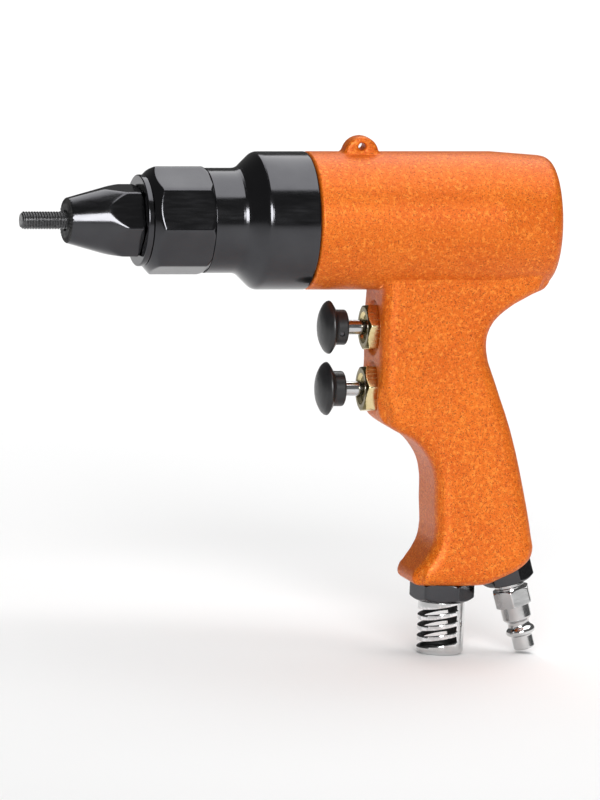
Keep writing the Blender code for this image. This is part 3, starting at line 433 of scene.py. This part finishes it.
FINISHES = {
    "orange_cast": dict(
        tones=((0.62, 0.112, 0.003), (0.69, 0.145, 0.006)), rough=(0.36, 0.50), metallic=0.25,
        cloud=45.0, grain=1500.0, bump=(0.40, 0.00012), wear_and_highlight=((0.78, 0.25, 0.04), 0.53, 0.62),
        specks=[((0.80, 0.23, 0.024), 600.0, 0.50, 0.70), ((0.54, 0.080, 0.002), 1100.0, 0.52, 0.68),
                ((0.20, 0.035, 0.001), 2000.0, 0.58, 0.68), ((0.85, 0.32, 0.06), 2300.0, 0.62, 0.74)],
        shine=0.3),
    # black_oxide's lighter edge colour is a painted edge highlight on the hexagons' edges, as well as wear.
    "black_oxide": dict(
        tones=((0.066, 0.066, 0.071), (0.076, 0.076, 0.081)), rough=(0.12, 0.19), metallic=1.0,
        cloud=60.0, grain=700.0, bump=(0.025, 0.00003), wear_and_highlight=((0.11, 0.11, 0.12), 0.56, 0.68),
        stretch=(0.15, 1.0, 1.0)),
    "tool_steel": dict(
        tones=((0.30, 0.30, 0.31), (0.38, 0.38, 0.39)), rough=(0.22, 0.38), metallic=1.0,
        cloud=80.0, grain=900.0, bump=(0.08, 0.00005), wear_and_highlight=((0.60, 0.60, 0.62), 0.54, 0.64),
        stretch=(0.2, 1.0, 1.0)),
    "gear_steel": dict(
        tones=((0.27, 0.27, 0.28), (0.35, 0.34, 0.33)), rough=(0.25, 0.42), metallic=1.0,
        cloud=90.0, grain=800.0, bump=(0.08, 0.00005), wear_and_highlight=((0.55, 0.55, 0.56), 0.54, 0.64)),
    "brass": dict(
        tones=((0.74, 0.61, 0.31), (0.82, 0.70, 0.40)), rough=(0.16, 0.30), metallic=1.0,
        cloud=110.0, grain=900.0, bump=(0.08, 0.00005), wear_and_highlight=((0.95, 0.80, 0.45), 0.53, 0.60),
        stretch=(0.2, 1.0, 1.0)),
    "chrome": dict(
        tones=((0.52, 0.52, 0.52), (0.66, 0.66, 0.66)), rough=(0.08, 0.18), metallic=1.0,
        cloud=80.0, grain=1000.0, bump=(0.05, 0.00004), wear_and_highlight=((0.92, 0.92, 0.93), 0.54, 0.62),
        stretch=(0.15, 1.0, 1.0)),
    "black_knob": dict(
        tones=((0.010, 0.010, 0.011), (0.016, 0.016, 0.017)), rough=(0.28, 0.40), metallic=0.0,
        cloud=90.0, grain=1200.0, bump=(0.12, 0.00006), wear_and_highlight=((0.07, 0.07, 0.072), 0.53, 0.62)),
    "spring_steel": dict(
        tones=((0.45, 0.45, 0.46), (0.55, 0.55, 0.56)), rough=(0.20, 0.34), metallic=1.0,
        cloud=120.0, grain=900.0, bump=(0.06, 0.00004), wear_and_highlight=((0.70, 0.70, 0.70), 0.54, 0.64)),
    "rubber": dict(
        tones=((0.016, 0.016, 0.016), (0.026, 0.025, 0.025)), rough=(0.60, 0.80), metallic=0.0,
        cloud=150.0, grain=1400.0, bump=(0.2, 0.00006)),
    "bronze": dict(
        tones=((0.42, 0.27, 0.13), (0.52, 0.35, 0.18)), rough=(0.38, 0.55), metallic=1.0,
        cloud=140.0, grain=1800.0, bump=(0.3, 0.00008)),
    "vane_resin": dict(
        tones=((0.22, 0.12, 0.055), (0.32, 0.19, 0.09)), rough=(0.50, 0.70), metallic=0.0,
        cloud=220.0, grain=1500.0, bump=(0.25, 0.00008), stretch=(0.3, 1.0, 1.0)),
    "motor_iron": dict(
        tones=((0.17, 0.17, 0.18), (0.24, 0.24, 0.24)), rough=(0.38, 0.55), metallic=0.9,
        cloud=90.0, grain=1100.0, bump=(0.2, 0.00006), wear_and_highlight=((0.42, 0.42, 0.43), 0.54, 0.64)),
    # for some of a piece's faces only, under the slot of the piece
    # painted shade: a darker brass for the glands' front-facing faces, standing in for the shade and dark
    # reflection there
    "brass_painted_shade": dict(
        tones=((0.13, 0.10, 0.030), (0.20, 0.155, 0.055)), rough=(0.22, 0.40), metallic=1.0,
        cloud=150.0, grain=900.0, bump=(0.08, 0.00005), wear_and_highlight=((0.50, 0.40, 0.18), 0.53, 0.60)),
    "thread": dict(
        tones=((0.075, 0.075, 0.078), (0.12, 0.12, 0.123)), rough=(0.20, 0.34), metallic=0.9,
        cloud=80.0, grain=900.0, bump=(0.08, 0.00005), wear_and_highlight=((0.30, 0.30, 0.31), 0.53, 0.62)),
    # painted shade: a near-black finish for the muffler's inside and the nosepiece's front end face,
    # standing in for the shade there
    "black_painted_shade": dict(
        tones=((0.018, 0.018, 0.019), (0.045, 0.044, 0.043)), rough=(0.45, 0.70), metallic=0.5,
        cloud=200.0, grain=900.0, bump=(0.2, 0.00006)),
}
MATERIALS = {slot: material("finish_" + slot, **spec) for slot, spec in FINISHES.items()}


def dress(piece, slot, body, *nodes):
    """Give a new piece its finish and its body, and let it stand for its CAD nodes."""
    piece.data.materials.clear()
    piece.data.materials.append(MATERIALS[slot])
    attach(piece, body)
    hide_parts(*nodes)
    return piece


def second_finish(piece, other, chosen):
    """Give the faces that a test picks out another finish."""
    piece.data.materials.append(MATERIALS[other])
    for face in piece.data.polygons:
        if chosen(face):
            face.material_index = 1


for part in frame["record"]["subparts"]:
    node = frame["nodes"][part["node"]]
    node.data.materials.clear()
    node.data.materials.append(MATERIALS[part["material_slot"]])


# ---------------------------------------------------------------- casting
def casting():
    """The CAD casting recast: its edges and inner corners eased, its barrel truly round."""
    low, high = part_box("body_housing")
    piece = bpy.data.objects.new("housing_casting", frame["nodes"]["body_housing"].data.copy())
    SCENE.collection.objects.link(piece)
    remesh = piece.modifiers.new("remesh", "REMESH")
    remesh.mode = "VOXEL"
    remesh.voxel_size = 0.6 * MM
    smooth = piece.modifiers.new("smooth", "SMOOTH")
    smooth.factor = 0.5
    smooth.iterations = SMOOTH_ROUNDS
    settle(piece)
    mesh = piece.data
    count = len(mesh.vertices)
    points = np.empty(count * 3)
    normals = np.empty(count * 3)
    mesh.vertices.foreach_get("co", points)
    mesh.vertices.foreach_get("normal", normals)
    points = points.reshape(-1, 3)
    normals = normals.reshape(-1, 3)
    # points that already lie close to the barrel, and face outwards, go onto the true round
    barrel = (high.y - low.y) / 2
    share = np.clip((points[:, 0] - TAPER_START_X) / (TAPER_END_X - TAPER_START_X), 0.0, 1.0)
    wanted = barrel + (REAR_RADIUS - barrel) * share
    radius = np.maximum(np.hypot(points[:, 1], points[:, 2]), 1e-9)
    outward = (normals[:, 1] * points[:, 1] + normals[:, 2] * points[:, 2]) / radius
    close = np.abs(radius - wanted) < 0.35 * MM
    on_barrel = close & (outward > 0.93) & (points[:, 0] < REAR_EDGE_X)
    points[:, 1:] *= np.where(on_barrel, wanted / radius, 1.0)[:, None]
    mesh.vertices.foreach_set("co", points.ravel())
    mesh.update()
    return dress(piece, "orange_cast", "housing", "body_housing")


# ---------------------------------------------------------------- gear case and nose
def gear_case():
    low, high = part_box("gear_case")
    ring = (high.y - low.y) / 2
    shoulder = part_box("body_housing")[0].x
    ring_rear = shoulder - GAP
    ring_front = ring_rear - RING_LENGTH
    neck_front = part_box("nose_sleeve")[1].x + 0.03 * MM
    bearing_low, bearing_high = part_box("spindle_bearing_outer")
    bush_low, bush_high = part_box("spindle_bush")
    profile = [
        (high.x, SOCKET_RADIUS, 0.0), (shoulder, SOCKET_RADIUS, 0.0),
        (ring_rear, SOCKET_RADIUS + 1.5 * MM, 0.0), (ring_rear, ring, 1.0 * MM),
        (ring_front, ring, 1.8 * MM), (ring_front - FLARE_LENGTH, NECK_RADIUS, 2.5 * MM),
        (neck_front, NECK_RADIUS, 0.15 * MM), (neck_front, SPIGOT_RADIUS, 0.0),
        (low.x, SPIGOT_RADIUS, 0.3 * MM), (low.x, CASE_BORES["mouth"], 0.3 * MM),
    ]
    steps = [("mouth", bush_low.x - GAP), ("bush", bush_high.x + GAP),
             ("waist", bearing_low.x - GAP), ("bearing", bearing_high.x + 0.5 * MM),
             ("carriers", high.x)]
    for (bore, step_end), (following, _) in zip(steps, steps[1:]):
        profile += [(step_end, CASE_BORES[bore], 0.0), (step_end, CASE_BORES[following], 0.0)]
    profile.append((high.x, CASE_BORES["carriers"], 0.0))
    shell = revolve("gear_case_shell", along_x(), profile, 144)
    dress(shell, "black_oxide", "housing", "gear_case")


def nose_sleeve():
    low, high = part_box("nose_sleeve")
    jam_low, jam_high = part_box("jam_ring")
    jam = (jam_high.y - jam_low.y) / 2
    peak = corner_radius(8, SLEEVE_FLATS) + 0.2 * MM
    bore = SPIGOT_RADIUS + GAP
    bore_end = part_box("gear_case")[0].x - GAP
    profile = [
        (high.x, bore, 0.2 * MM), (high.x, NECK_RADIUS - 0.2 * MM, 0.2 * MM),
        (high.x - SLEEVE_REAR_CHAMFER, peak, 0.4 * MM), (low.x + SLEEVE_FRONT_CHAMFER, peak, 0.5 * MM),
        (low.x, jam - 0.2 * MM, 0.4 * MM), (low.x, THROAT_RADIUS, 0.2 * MM),
        (bore_end, THROAT_RADIUS, 0.0), (bore_end, bore, 0.0),
    ]
    shell = revolve("nose_sleeve_shell", along_x(), profile, 288, 8, SLEEVE_FLATS, SLEEVE_TURN, 0.6 * MM)
    dress(shell, "black_oxide", "housing", "nose_sleeve")


def jam_ring():
    low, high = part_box("jam_ring")
    radius = (high.y - low.y) / 2
    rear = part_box("nose_sleeve")[0].x - 0.1 * MM
    profile = [(rear, THROAT_RADIUS, 0.0), (rear, radius, 0.5 * MM),
               (low.x, radius, 0.6 * MM), (low.x, THROAT_RADIUS, 0.2 * MM)]
    shell = revolve("jam_ring_shell", along_x(), profile, 144)
    dress(shell, "black_oxide", "housing", "jam_ring")


def nosepiece():
    low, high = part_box("nosepiece")
    peak = corner_radius(6, NOSE_FLATS)
    rear_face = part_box("jam_ring")[0].x - GAP
    groove_rear, groove_front = SHANK_GROOVE_X
    tip = low.x
    profile = [
        (high.x, COUNTERBORE_RADIUS, 0.2 * MM), (high.x, SHANK_RADIUS, 0.4 * MM),
        (groove_rear, SHANK_RADIUS, 0.1 * MM), (groove_rear, SHANK_GROOVE_RADIUS, 0.0),
        (groove_front, SHANK_GROOVE_RADIUS, 0.0), (groove_front, SHANK_RADIUS, 0.1 * MM),
        (rear_face, SHANK_RADIUS, 0.0), (rear_face, peak - 0.9 * MM, 0.3 * MM),
        (rear_face - 0.8 * MM, peak, 0.3 * MM), (NOSE_CONE_X, peak, 1.2 * MM),
        (tip + 0.7 * MM, 9.9 * MM, 0.3 * MM), (tip, 9.1 * MM, 0.3 * MM),
        (tip, STUD_HOLE_RADIUS, 0.3 * MM), (COUNTERBORE_END_X, STUD_HOLE_RADIUS, 0.0),
        (COUNTERBORE_END_X, COUNTERBORE_RADIUS, 0.0),
    ]

    def serrate(height, radius, phi):
        """Fine radial teeth round the end face."""
        near = np.clip((tip + 1.1 * MM - height) / (0.8 * MM), 0.0, 1.0)
        band = np.clip((radius - 7.4 * MM) / (0.8 * MM), 0.0, 1.0)
        tooth = near * band * (0.5 + 0.5 * np.cos(SERRATIONS * phi)) ** 2
        return height + SERRATION_RISE * tooth, radius - SERRATION_CUT * tooth

    anvil = revolve("nosepiece_anvil", along_x(), profile, 360, 6, NOSE_FLATS, NOSE_TURN, 0.7 * MM, serrate)
    dress(anvil, "black_oxide", "nosepiece", "nosepiece")
    # painted shade: the front-facing end face near the tip gets the near-black finish
    second_finish(anvil, "black_painted_shade", lambda face: face.center.x < tip + 0.9 * MM and face.normal.x < -0.3)


def mandrel():
    low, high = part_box("mandrel")
    tip = low.x
    thread_end = tip + THREAD_LENGTH
    head_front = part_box("mandrel_thrust_washer")[1].x + GAP
    profile = [
        (high.x, 0.0, 0.0), (high.x, HEAD_RADIUS, 0.5 * MM), (head_front, HEAD_RADIUS, 0.5 * MM),
        (head_front, CREST_RADIUS, 0.2 * MM), (thread_end, CREST_RADIUS, 0.0),
        (tip, CREST_RADIUS, 0.0), (tip, 0.0, 0.0),
    ]

    def thread(height, radius, phi):
        """A helical groove that runs out at thread_end, and a pointed lead at the tip."""
        turn = np.mod(height / THREAD_PITCH - phi / (2 * math.pi), 1.0)
        groove = np.clip(1.0 - np.abs(turn - 0.5) / 0.36, 0.0, 1.0)
        cutting = np.clip((thread_end - height) / (2.0 * MM), 0.0, 1.0) * (radius > 3.0 * MM)
        radius = radius - THREAD_DEPTH * groove * cutting
        lead = 2.9 * MM + np.maximum(height - tip, 0.0) * 0.9
        return height, np.where(radius > 2.95 * MM, np.minimum(radius, lead), radius)

    stud = revolve("mandrel_thread", along_x(), profile, 72, 6, HEAD_FLATS, math.radians(30),
                   THREAD_PITCH / 10, thread)
    dress(stud, "black_oxide", "spindle", "mandrel")
    stud.data.materials[0] = MATERIALS["thread"]


# ---------------------------------------------------------------- valves
def knob_cap(prefix):
    low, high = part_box(prefix + "_button_knob")
    z = (low.z + high.z) / 2
    radius = (high.y - low.y) / 2 + 0.03 * MM
    rim = low.x + KNOB_DEPTH
    collar = COLLAR_RADIUS
    hole = STEM_RADIUS + 0.2 * MM
    profile = [
        (low.x, 0.0, 0.0), (rim - 4.0 * MM, 3.5 * MM, 1.5 * MM), (rim - 3.0 * MM, 7.6 * MM, 2.0 * MM),
        (rim - 1.2 * MM, 10.7 * MM, 1.2 * MM), (rim - 0.1 * MM, radius - 0.15 * MM, 0.25 * MM),
        (rim + 0.6 * MM, radius, 0.25 * MM), (rim + 1.3 * MM, radius - 0.9 * MM, 0.5 * MM),
        (rim + 2.5 * MM, collar + 1.2 * MM, 0.4 * MM), (rim + 2.6 * MM, collar + 0.35 * MM, 0.15 * MM),
        (rim + 3.0 * MM, collar + 0.35 * MM, 0.15 * MM), (rim + 3.1 * MM, collar, 0.15 * MM),
        (rim + COLLAR_LENGTH, collar, 0.9 * MM), (rim + COLLAR_LENGTH, hole, 0.2 * MM),
        (rim + 1.0 * MM, hole, 0.0), (rim + 1.0 * MM, 0.0, 0.0),
    ]
    knob = revolve(prefix + "_knob_cap", along_x(z=z), profile, 128)
    screw = centre_of(prefix + "_knob_set_screw")
    aim = (screw - Vector((screw.x, 0.0, z))).normalized()
    drill = Matrix.Translation(screw + aim * 1.2 * MM) @ aim.to_track_quat("Z", "Y").to_matrix().to_4x4()
    carve(knob, [rod_cutter(SET_SCREW_HOLE_RADIUS, 8.0 * MM, drill)], 0.0)
    dress(knob, "black_knob", prefix + "_button", prefix + "_button_knob")


def stem_rod(prefix):
    """Push stem and spool in one, with a waist and a groove for the seal."""
    low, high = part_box(prefix + "_valve_stem")
    z = centre_of(prefix + "_button_knob").z
    waist_rear, waist_front = WAIST_X
    groove_rear, groove_front = LAND_GROOVE_X
    profile = [
        (high.x, 0.0, 0.0), (high.x, LAND_RADIUS, 0.2 * MM), (waist_rear, LAND_RADIUS, 0.2 * MM),
        (waist_rear, STEM_RADIUS, 0.1 * MM), (waist_front, STEM_RADIUS, 0.1 * MM),
        (waist_front, LAND_RADIUS, 0.2 * MM), (groove_rear, LAND_RADIUS, 0.1 * MM),
        (groove_rear, LAND_GROOVE_RADIUS, 0.0), (groove_front, LAND_GROOVE_RADIUS, 0.0),
        (groove_front, LAND_RADIUS, 0.1 * MM), (LAND_FRONT_X, LAND_RADIUS, 0.2 * MM),
        (LAND_FRONT_X, STEM_RADIUS, 0.1 * MM), (low.x, STEM_RADIUS, 0.3 * MM), (low.x, 0.0, 0.0),
    ]
    rod = revolve(prefix + "_stem_rod", along_x(z=z), profile, 64)
    dress(rod, "chrome", prefix + "_button", prefix + "_valve_stem")


def gland_hex(prefix):
    low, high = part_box(prefix + "_valve_gland")
    z = centre_of(prefix + "_button_knob").z
    peak = corner_radius(6, GLAND_FLATS)
    front, back = low.x, high.x
    seat = front + GLAND_LENGTH
    hole = STEM_RADIUS + STEM_CLEARANCE
    profile = [
        (back, hole, 0.1 * MM), (back, GLAND_THREAD_RADIUS, 0.4 * MM),
        (seat - 0.05 * MM, GLAND_THREAD_RADIUS, 0.0), (seat, peak - 0.5 * MM, 0.2 * MM),
        (seat - 0.7 * MM, peak, 0.2 * MM), (front + 1.2 * MM, peak, 0.4 * MM),
        (front, peak - 2.0 * MM, 0.3 * MM), (front, 6.9 * MM, 0.3 * MM),
        (front + 1.5 * MM, 5.6 * MM, 0.3 * MM), (front + 1.9 * MM, hole, 0.1 * MM),
    ]
    gland = revolve(prefix + "_gland_hex", along_x(z=z), profile, 216, 6, GLAND_FLATS, GLAND_TURN, FLAT_STEP)
    dress(gland, "brass", "housing", prefix + "_valve_gland")
    # painted shade: the front-facing faces get the darker brass
    second_finish(gland, "brass_painted_shade", lambda face: face.normal.x < -0.75)


def helix(radius, length, turns, wire):
    """Mesh of a wire coil round local +Z, centred, from a curve that is thrown away."""
    curve = bpy.data.curves.new("coil", "CURVE")
    curve.dimensions = "3D"
    curve.bevel_depth = wire
    curve.bevel_resolution = 3
    curve.use_fill_caps = True
    spline = curve.splines.new("POLY")
    cells = turns * SPRING_STEPS
    spline.points.add(cells)
    for i, point in enumerate(spline.points):
        angle = 2 * math.pi * i / SPRING_STEPS
        height = length * (0.5 - i / cells)
        point.co = (radius * math.cos(angle), radius * math.sin(angle), height, 1.0)
    holder = bpy.data.objects.new("coil", curve)
    SCENE.collection.objects.link(holder)
    bpy.context.view_layer.update()
    graph = bpy.context.evaluated_depsgraph_get()
    made = bpy.data.meshes.new_from_object(holder.evaluated_get(graph))
    bpy.data.objects.remove(holder, do_unlink=True)
    shape = bmesh.new()
    shape.from_mesh(made)
    bmesh.ops.remove_doubles(shape, verts=shape.verts, dist=0.001 * MM)
    return shape


def return_spring(prefix):
    """Coil behind the spool, at the length of its CAD part."""
    low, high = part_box(prefix + "_valve_spring")
    centre = (low + high) / 2
    centre.y = 0.0
    length = high.x - low.x
    wire = SPRING_WIRE_RADIUS
    shape = helix((high.y - low.y) / 2 - wire, length - 2 * wire, SPRING_TURNS, wire)
    spring = finish_mesh(prefix + "_return_spring", shape, along_x(*centre))
    dress(spring, "spring_steel", "housing", prefix + "_valve_spring")
    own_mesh(spring)


# ---------------------------------------------------------------- air fittings
def exhaust_hex(x):
    low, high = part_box("exhaust_bushing")
    peak = corner_radius(6, EXHAUST_FLATS)
    bottom, top = low.z, high.z - EXHAUST_THREAD_LENGTH
    bore, thread_radius = EXHAUST_BORE_RADIUS, EXHAUST_THREAD_RADIUS
    profile = [
        (high.z, bore, 0.2 * MM), (high.z, thread_radius, 0.4 * MM), (top, thread_radius, 0.0),
        (top, peak - 0.8 * MM, 0.3 * MM), (top - 0.7 * MM, peak, 0.3 * MM),
        (bottom + 1.6 * MM, peak, 0.5 * MM), (bottom, peak - 2.6 * MM, 0.3 * MM),
        (bottom, bore, 0.2 * MM),
    ]
    bushing = revolve("exhaust_hex", upright(x, 0.0, 0.0, -OUTLET_TURN), profile, 216, 6, EXHAUST_FLATS,
                      math.radians(30.0), FLAT_STEP)
    dress(bushing, "black_oxide", "housing", "exhaust_bushing")


def muffler_tube(x):
    """Slotted cup; the slots are sawn from the front, one above the other."""
    low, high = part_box("exhaust_muffler")
    end, top = low.z, high.z
    floor = end + MUFFLER_FLOOR
    bore = MUFFLER_RADIUS - MUFFLER_WALL
    profile = [
        (floor, 0.0, 0.0), (floor, bore, 0.8 * MM), (top, bore, 0.2 * MM),
        (top, MUFFLER_RADIUS, 0.3 * MM), (end, MUFFLER_RADIUS, 2.2 * MM), (end, 0.0, 0.0),
    ]
    cup = revolve("muffler_tube", upright(x, 0.0, 0.0), profile, 128, step=1.2 * MM)
    slant = Matrix.Rotation(-SLOT_SLANT, 4, "Y")
    depth, width = SAW
    cut = Matrix.Translation((SLOT_REACH - depth / 2, 0.0, 0.0))
    first = top - SLOT_MARGIN - SLOT_WIDTH / 2
    heights = [first - number * SLOT_PITCH for number in range(SLOT_COUNT)]
    cutters = [box_cutter((depth, width, SLOT_WIDTH), Matrix.Translation((x, 0.0, z)) @ slant @ cut)
               for z in heights]
    carve(cup, cutters, 0.15 * MM)
    dress(cup, "chrome", "housing", "exhaust_muffler")
    # painted shade: the cup's inside faces get the near-black finish, standing in for the shade inside it
    skin = MUFFLER_RADIUS - MUFFLER_WALL * 0.8

    def inside(face):
        return math.hypot(face.center.x - x, face.center.y) < skin and face.center.z > end + 1.0 * MM

    second_finish(cup, "black_painted_shade", inside)


def inlet_hex(place):
    peak = corner_radius(6, INLET_FLATS) + 0.1 * MM
    socket, passage = INLET_SOCKET_RADIUS, INLET_PASSAGE_RADIUS
    profile = [
        (INLET_TOP, SCREEN_RADIUS, 0.1 * MM), (INLET_TOP, INLET_THREAD_RADIUS, 0.4 * MM),
        (INLET_SEAT, INLET_THREAD_RADIUS, 0.0), (INLET_SEAT, peak, 0.0),
        (INLET_BOTTOM + 1.4 * MM, peak, 0.4 * MM), (INLET_BOTTOM, peak - 2.3 * MM, 0.3 * MM),
        (INLET_BOTTOM, socket, 0.3 * MM), (INLET_SOCKET_END, socket, 0.0),
        (INLET_SOCKET_END, passage, 0.0), (SCREEN_SEAT, passage, 0.0), (SCREEN_SEAT, SCREEN_RADIUS, 0.0),
    ]
    bushing = revolve("inlet_hex", place, profile, 216, 6, INLET_FLATS, math.radians(30.0), FLAT_STEP)
    dress(bushing, "black_oxide", "housing", "inlet_bushing")


def plug_nipple(place):
    """Quick-connect plug: thread, hexagon, shoulder, neck, locking bead and nose."""
    peak = corner_radius(6, PLUG_FLATS)
    hex_top, hex_end = PLUG_HEX_TOP, PLUG_HEX_TOP - PLUG_HEX_LENGTH
    collar = INLET_BOTTOM - GAP
    bore = PLUG_BORE_RADIUS
    profile = [
        (PLUG_TOP, bore, 0.2 * MM), (PLUG_TOP, PLUG_THREAD_RADIUS, 0.3 * MM),
        (collar, PLUG_THREAD_RADIUS, 0.0), (collar, 6.6 * MM, 0.3 * MM),
        (hex_top + 1.2 * MM, 6.6 * MM, 0.3 * MM), (hex_top + 0.9 * MM, 6.2 * MM, 0.2 * MM),
        (hex_top, 6.2 * MM, 0.0), (hex_top, peak - 0.9 * MM, 0.3 * MM),
        (hex_top - 0.8 * MM, peak, 0.3 * MM), (hex_end + 0.8 * MM, peak, 0.3 * MM),
        (hex_end, peak - 0.9 * MM, 0.3 * MM), (hex_end, 6.3 * MM, 0.2 * MM),
        (hex_end - 6.1 * MM, 6.3 * MM, 0.5 * MM), (hex_end - 7.5 * MM, 4.7 * MM, 0.8 * MM),
        (hex_end - 9.5 * MM, 4.7 * MM, 0.8 * MM), (hex_end - 11.1 * MM, 6.35 * MM, 0.8 * MM),
        (hex_end - 12.7 * MM, 6.35 * MM, 0.8 * MM), (hex_end - 13.9 * MM, 4.6 * MM, 0.4 * MM),
        (0.6 * MM, 4.6 * MM, 0.2 * MM), (0.0, 4.0 * MM, 0.2 * MM), (0.0, bore, 0.3 * MM),
    ]
    turned = place @ Matrix.Rotation(math.radians(30.0), 4, "Z")
    nipple = revolve("plug_nipple", turned, profile, 216, 6, PLUG_FLATS, math.radians(30.0), FLAT_STEP)
    dress(nipple, "chrome", "housing", "air_plug")


def inlet():
    """Both inlet pieces share the plug's tilted axis, which the record's mount gives."""
    mount = next(m for m in frame["record"]["mounts"] if m["name"] == "air_plug_face")
    out = Vector(mount["axis"]).normalized()
    end = Vector(mount["pos_m"])
    end.y = 0.0
    tilt = Matrix.Rotation(-math.atan2(out.x, -out.z), 4, "Y")
    place = Matrix.Translation(end) @ tilt @ Matrix.Rotation(-OUTLET_TURN, 4, "Z")
    inlet_hex(place)
    plug_nipple(place)


# ---------------------------------------------------------------- stage, light and camera
def pale_floor(floor_z):
    shape = bmesh.new()
    bmesh.ops.create_grid(shape, x_segments=2, y_segments=2, size=40.0)
    floor = finish_mesh("floor", shape, Matrix.Translation((0.0, 0.0, floor_z)))
    pale = bpy.data.materials.new("floor_pale")
    pale.use_nodes = True
    shader = pale.node_tree.nodes["Principled BSDF"]
    shader.inputs["Base Color"].default_value = (0.93, 0.93, 0.93, 1.0)
    shader.inputs["Roughness"].default_value = 0.9
    floor.data.materials.append(pale)


def lights():
    """A long softbox overhead, a soft key from the front, and dim, even surroundings."""
    world = bpy.data.worlds.new("studio")
    world.use_nodes = True
    world.node_tree.nodes["Background"].inputs["Color"].default_value = (1.0, 1.0, 1.0, 1.0)
    world.node_tree.nodes["Background"].inputs["Strength"].default_value = 0.12
    SCENE.world = world

    softbox = bpy.data.lights.new("top_softbox", "AREA")
    softbox.shape = "RECTANGLE"
    softbox.size = 2.6
    softbox.size_y = 5.7
    softbox.energy = 118.0
    overhead = bpy.data.objects.new("top_softbox", softbox)
    overhead.location = (0.85, 1.3, 2.7)
    SCENE.collection.objects.link(overhead)

    key = bpy.data.lights.new("key", "SUN")
    key.energy = 2.7
    key.angle = math.radians(30.0)
    holder = bpy.data.objects.new("key", key)
    holder.rotation_mode = "QUATERNION"
    holder.rotation_quaternion = Vector((0.16, 0.92, -0.34)).to_track_quat("-Z", "Y")
    SCENE.collection.objects.link(holder)


def camera():
    """Orthographic view of the tool's left side, from a little ahead of it and above."""
    yaw, pitch = CAMERA_YAW, CAMERA_PITCH
    roll = math.atan(math.tan(yaw) * math.sin(pitch))
    right = Vector((math.cos(yaw), -math.sin(yaw), 0.0))
    ahead = Vector((math.sin(yaw) * math.cos(pitch), math.cos(yaw) * math.cos(pitch), -math.sin(pitch)))
    up = right.cross(ahead)
    across = right * math.cos(roll) + up * math.sin(roll)
    rise = up * math.cos(roll) - right * math.sin(roll)
    middle = across * PICTURE_MIDDLE[0] + rise * PICTURE_MIDDLE[1]
    data = bpy.data.cameras.new("camera")
    data.type = "ORTHO"
    data.ortho_scale = PICTURE_HEIGHT
    data.clip_end = 100.0
    holder = bpy.data.objects.new("camera", data)
    SCENE.collection.objects.link(holder)
    place = Matrix((across, rise, -ahead)).transposed().to_4x4()
    place.translation = middle - ahead * CAMERA_DISTANCE
    holder.matrix_world = place
    SCENE.camera = holder


casting()
gear_case()
nose_sleeve()
jam_ring()
nosepiece()
mandrel()
for prefix in ("upper", "lower"):
    knob_cap(prefix)
    stem_rod(prefix)
    gland_hex(prefix)
    return_spring(prefix)
exhaust_x = centre_of("exhaust_muffler").x
exhaust_hex(exhaust_x)
muffler_tube(exhaust_x)
inlet()
SCENE.view_settings.view_transform = "Standard"
pale_floor(cad_low.z)
lights()
camera()
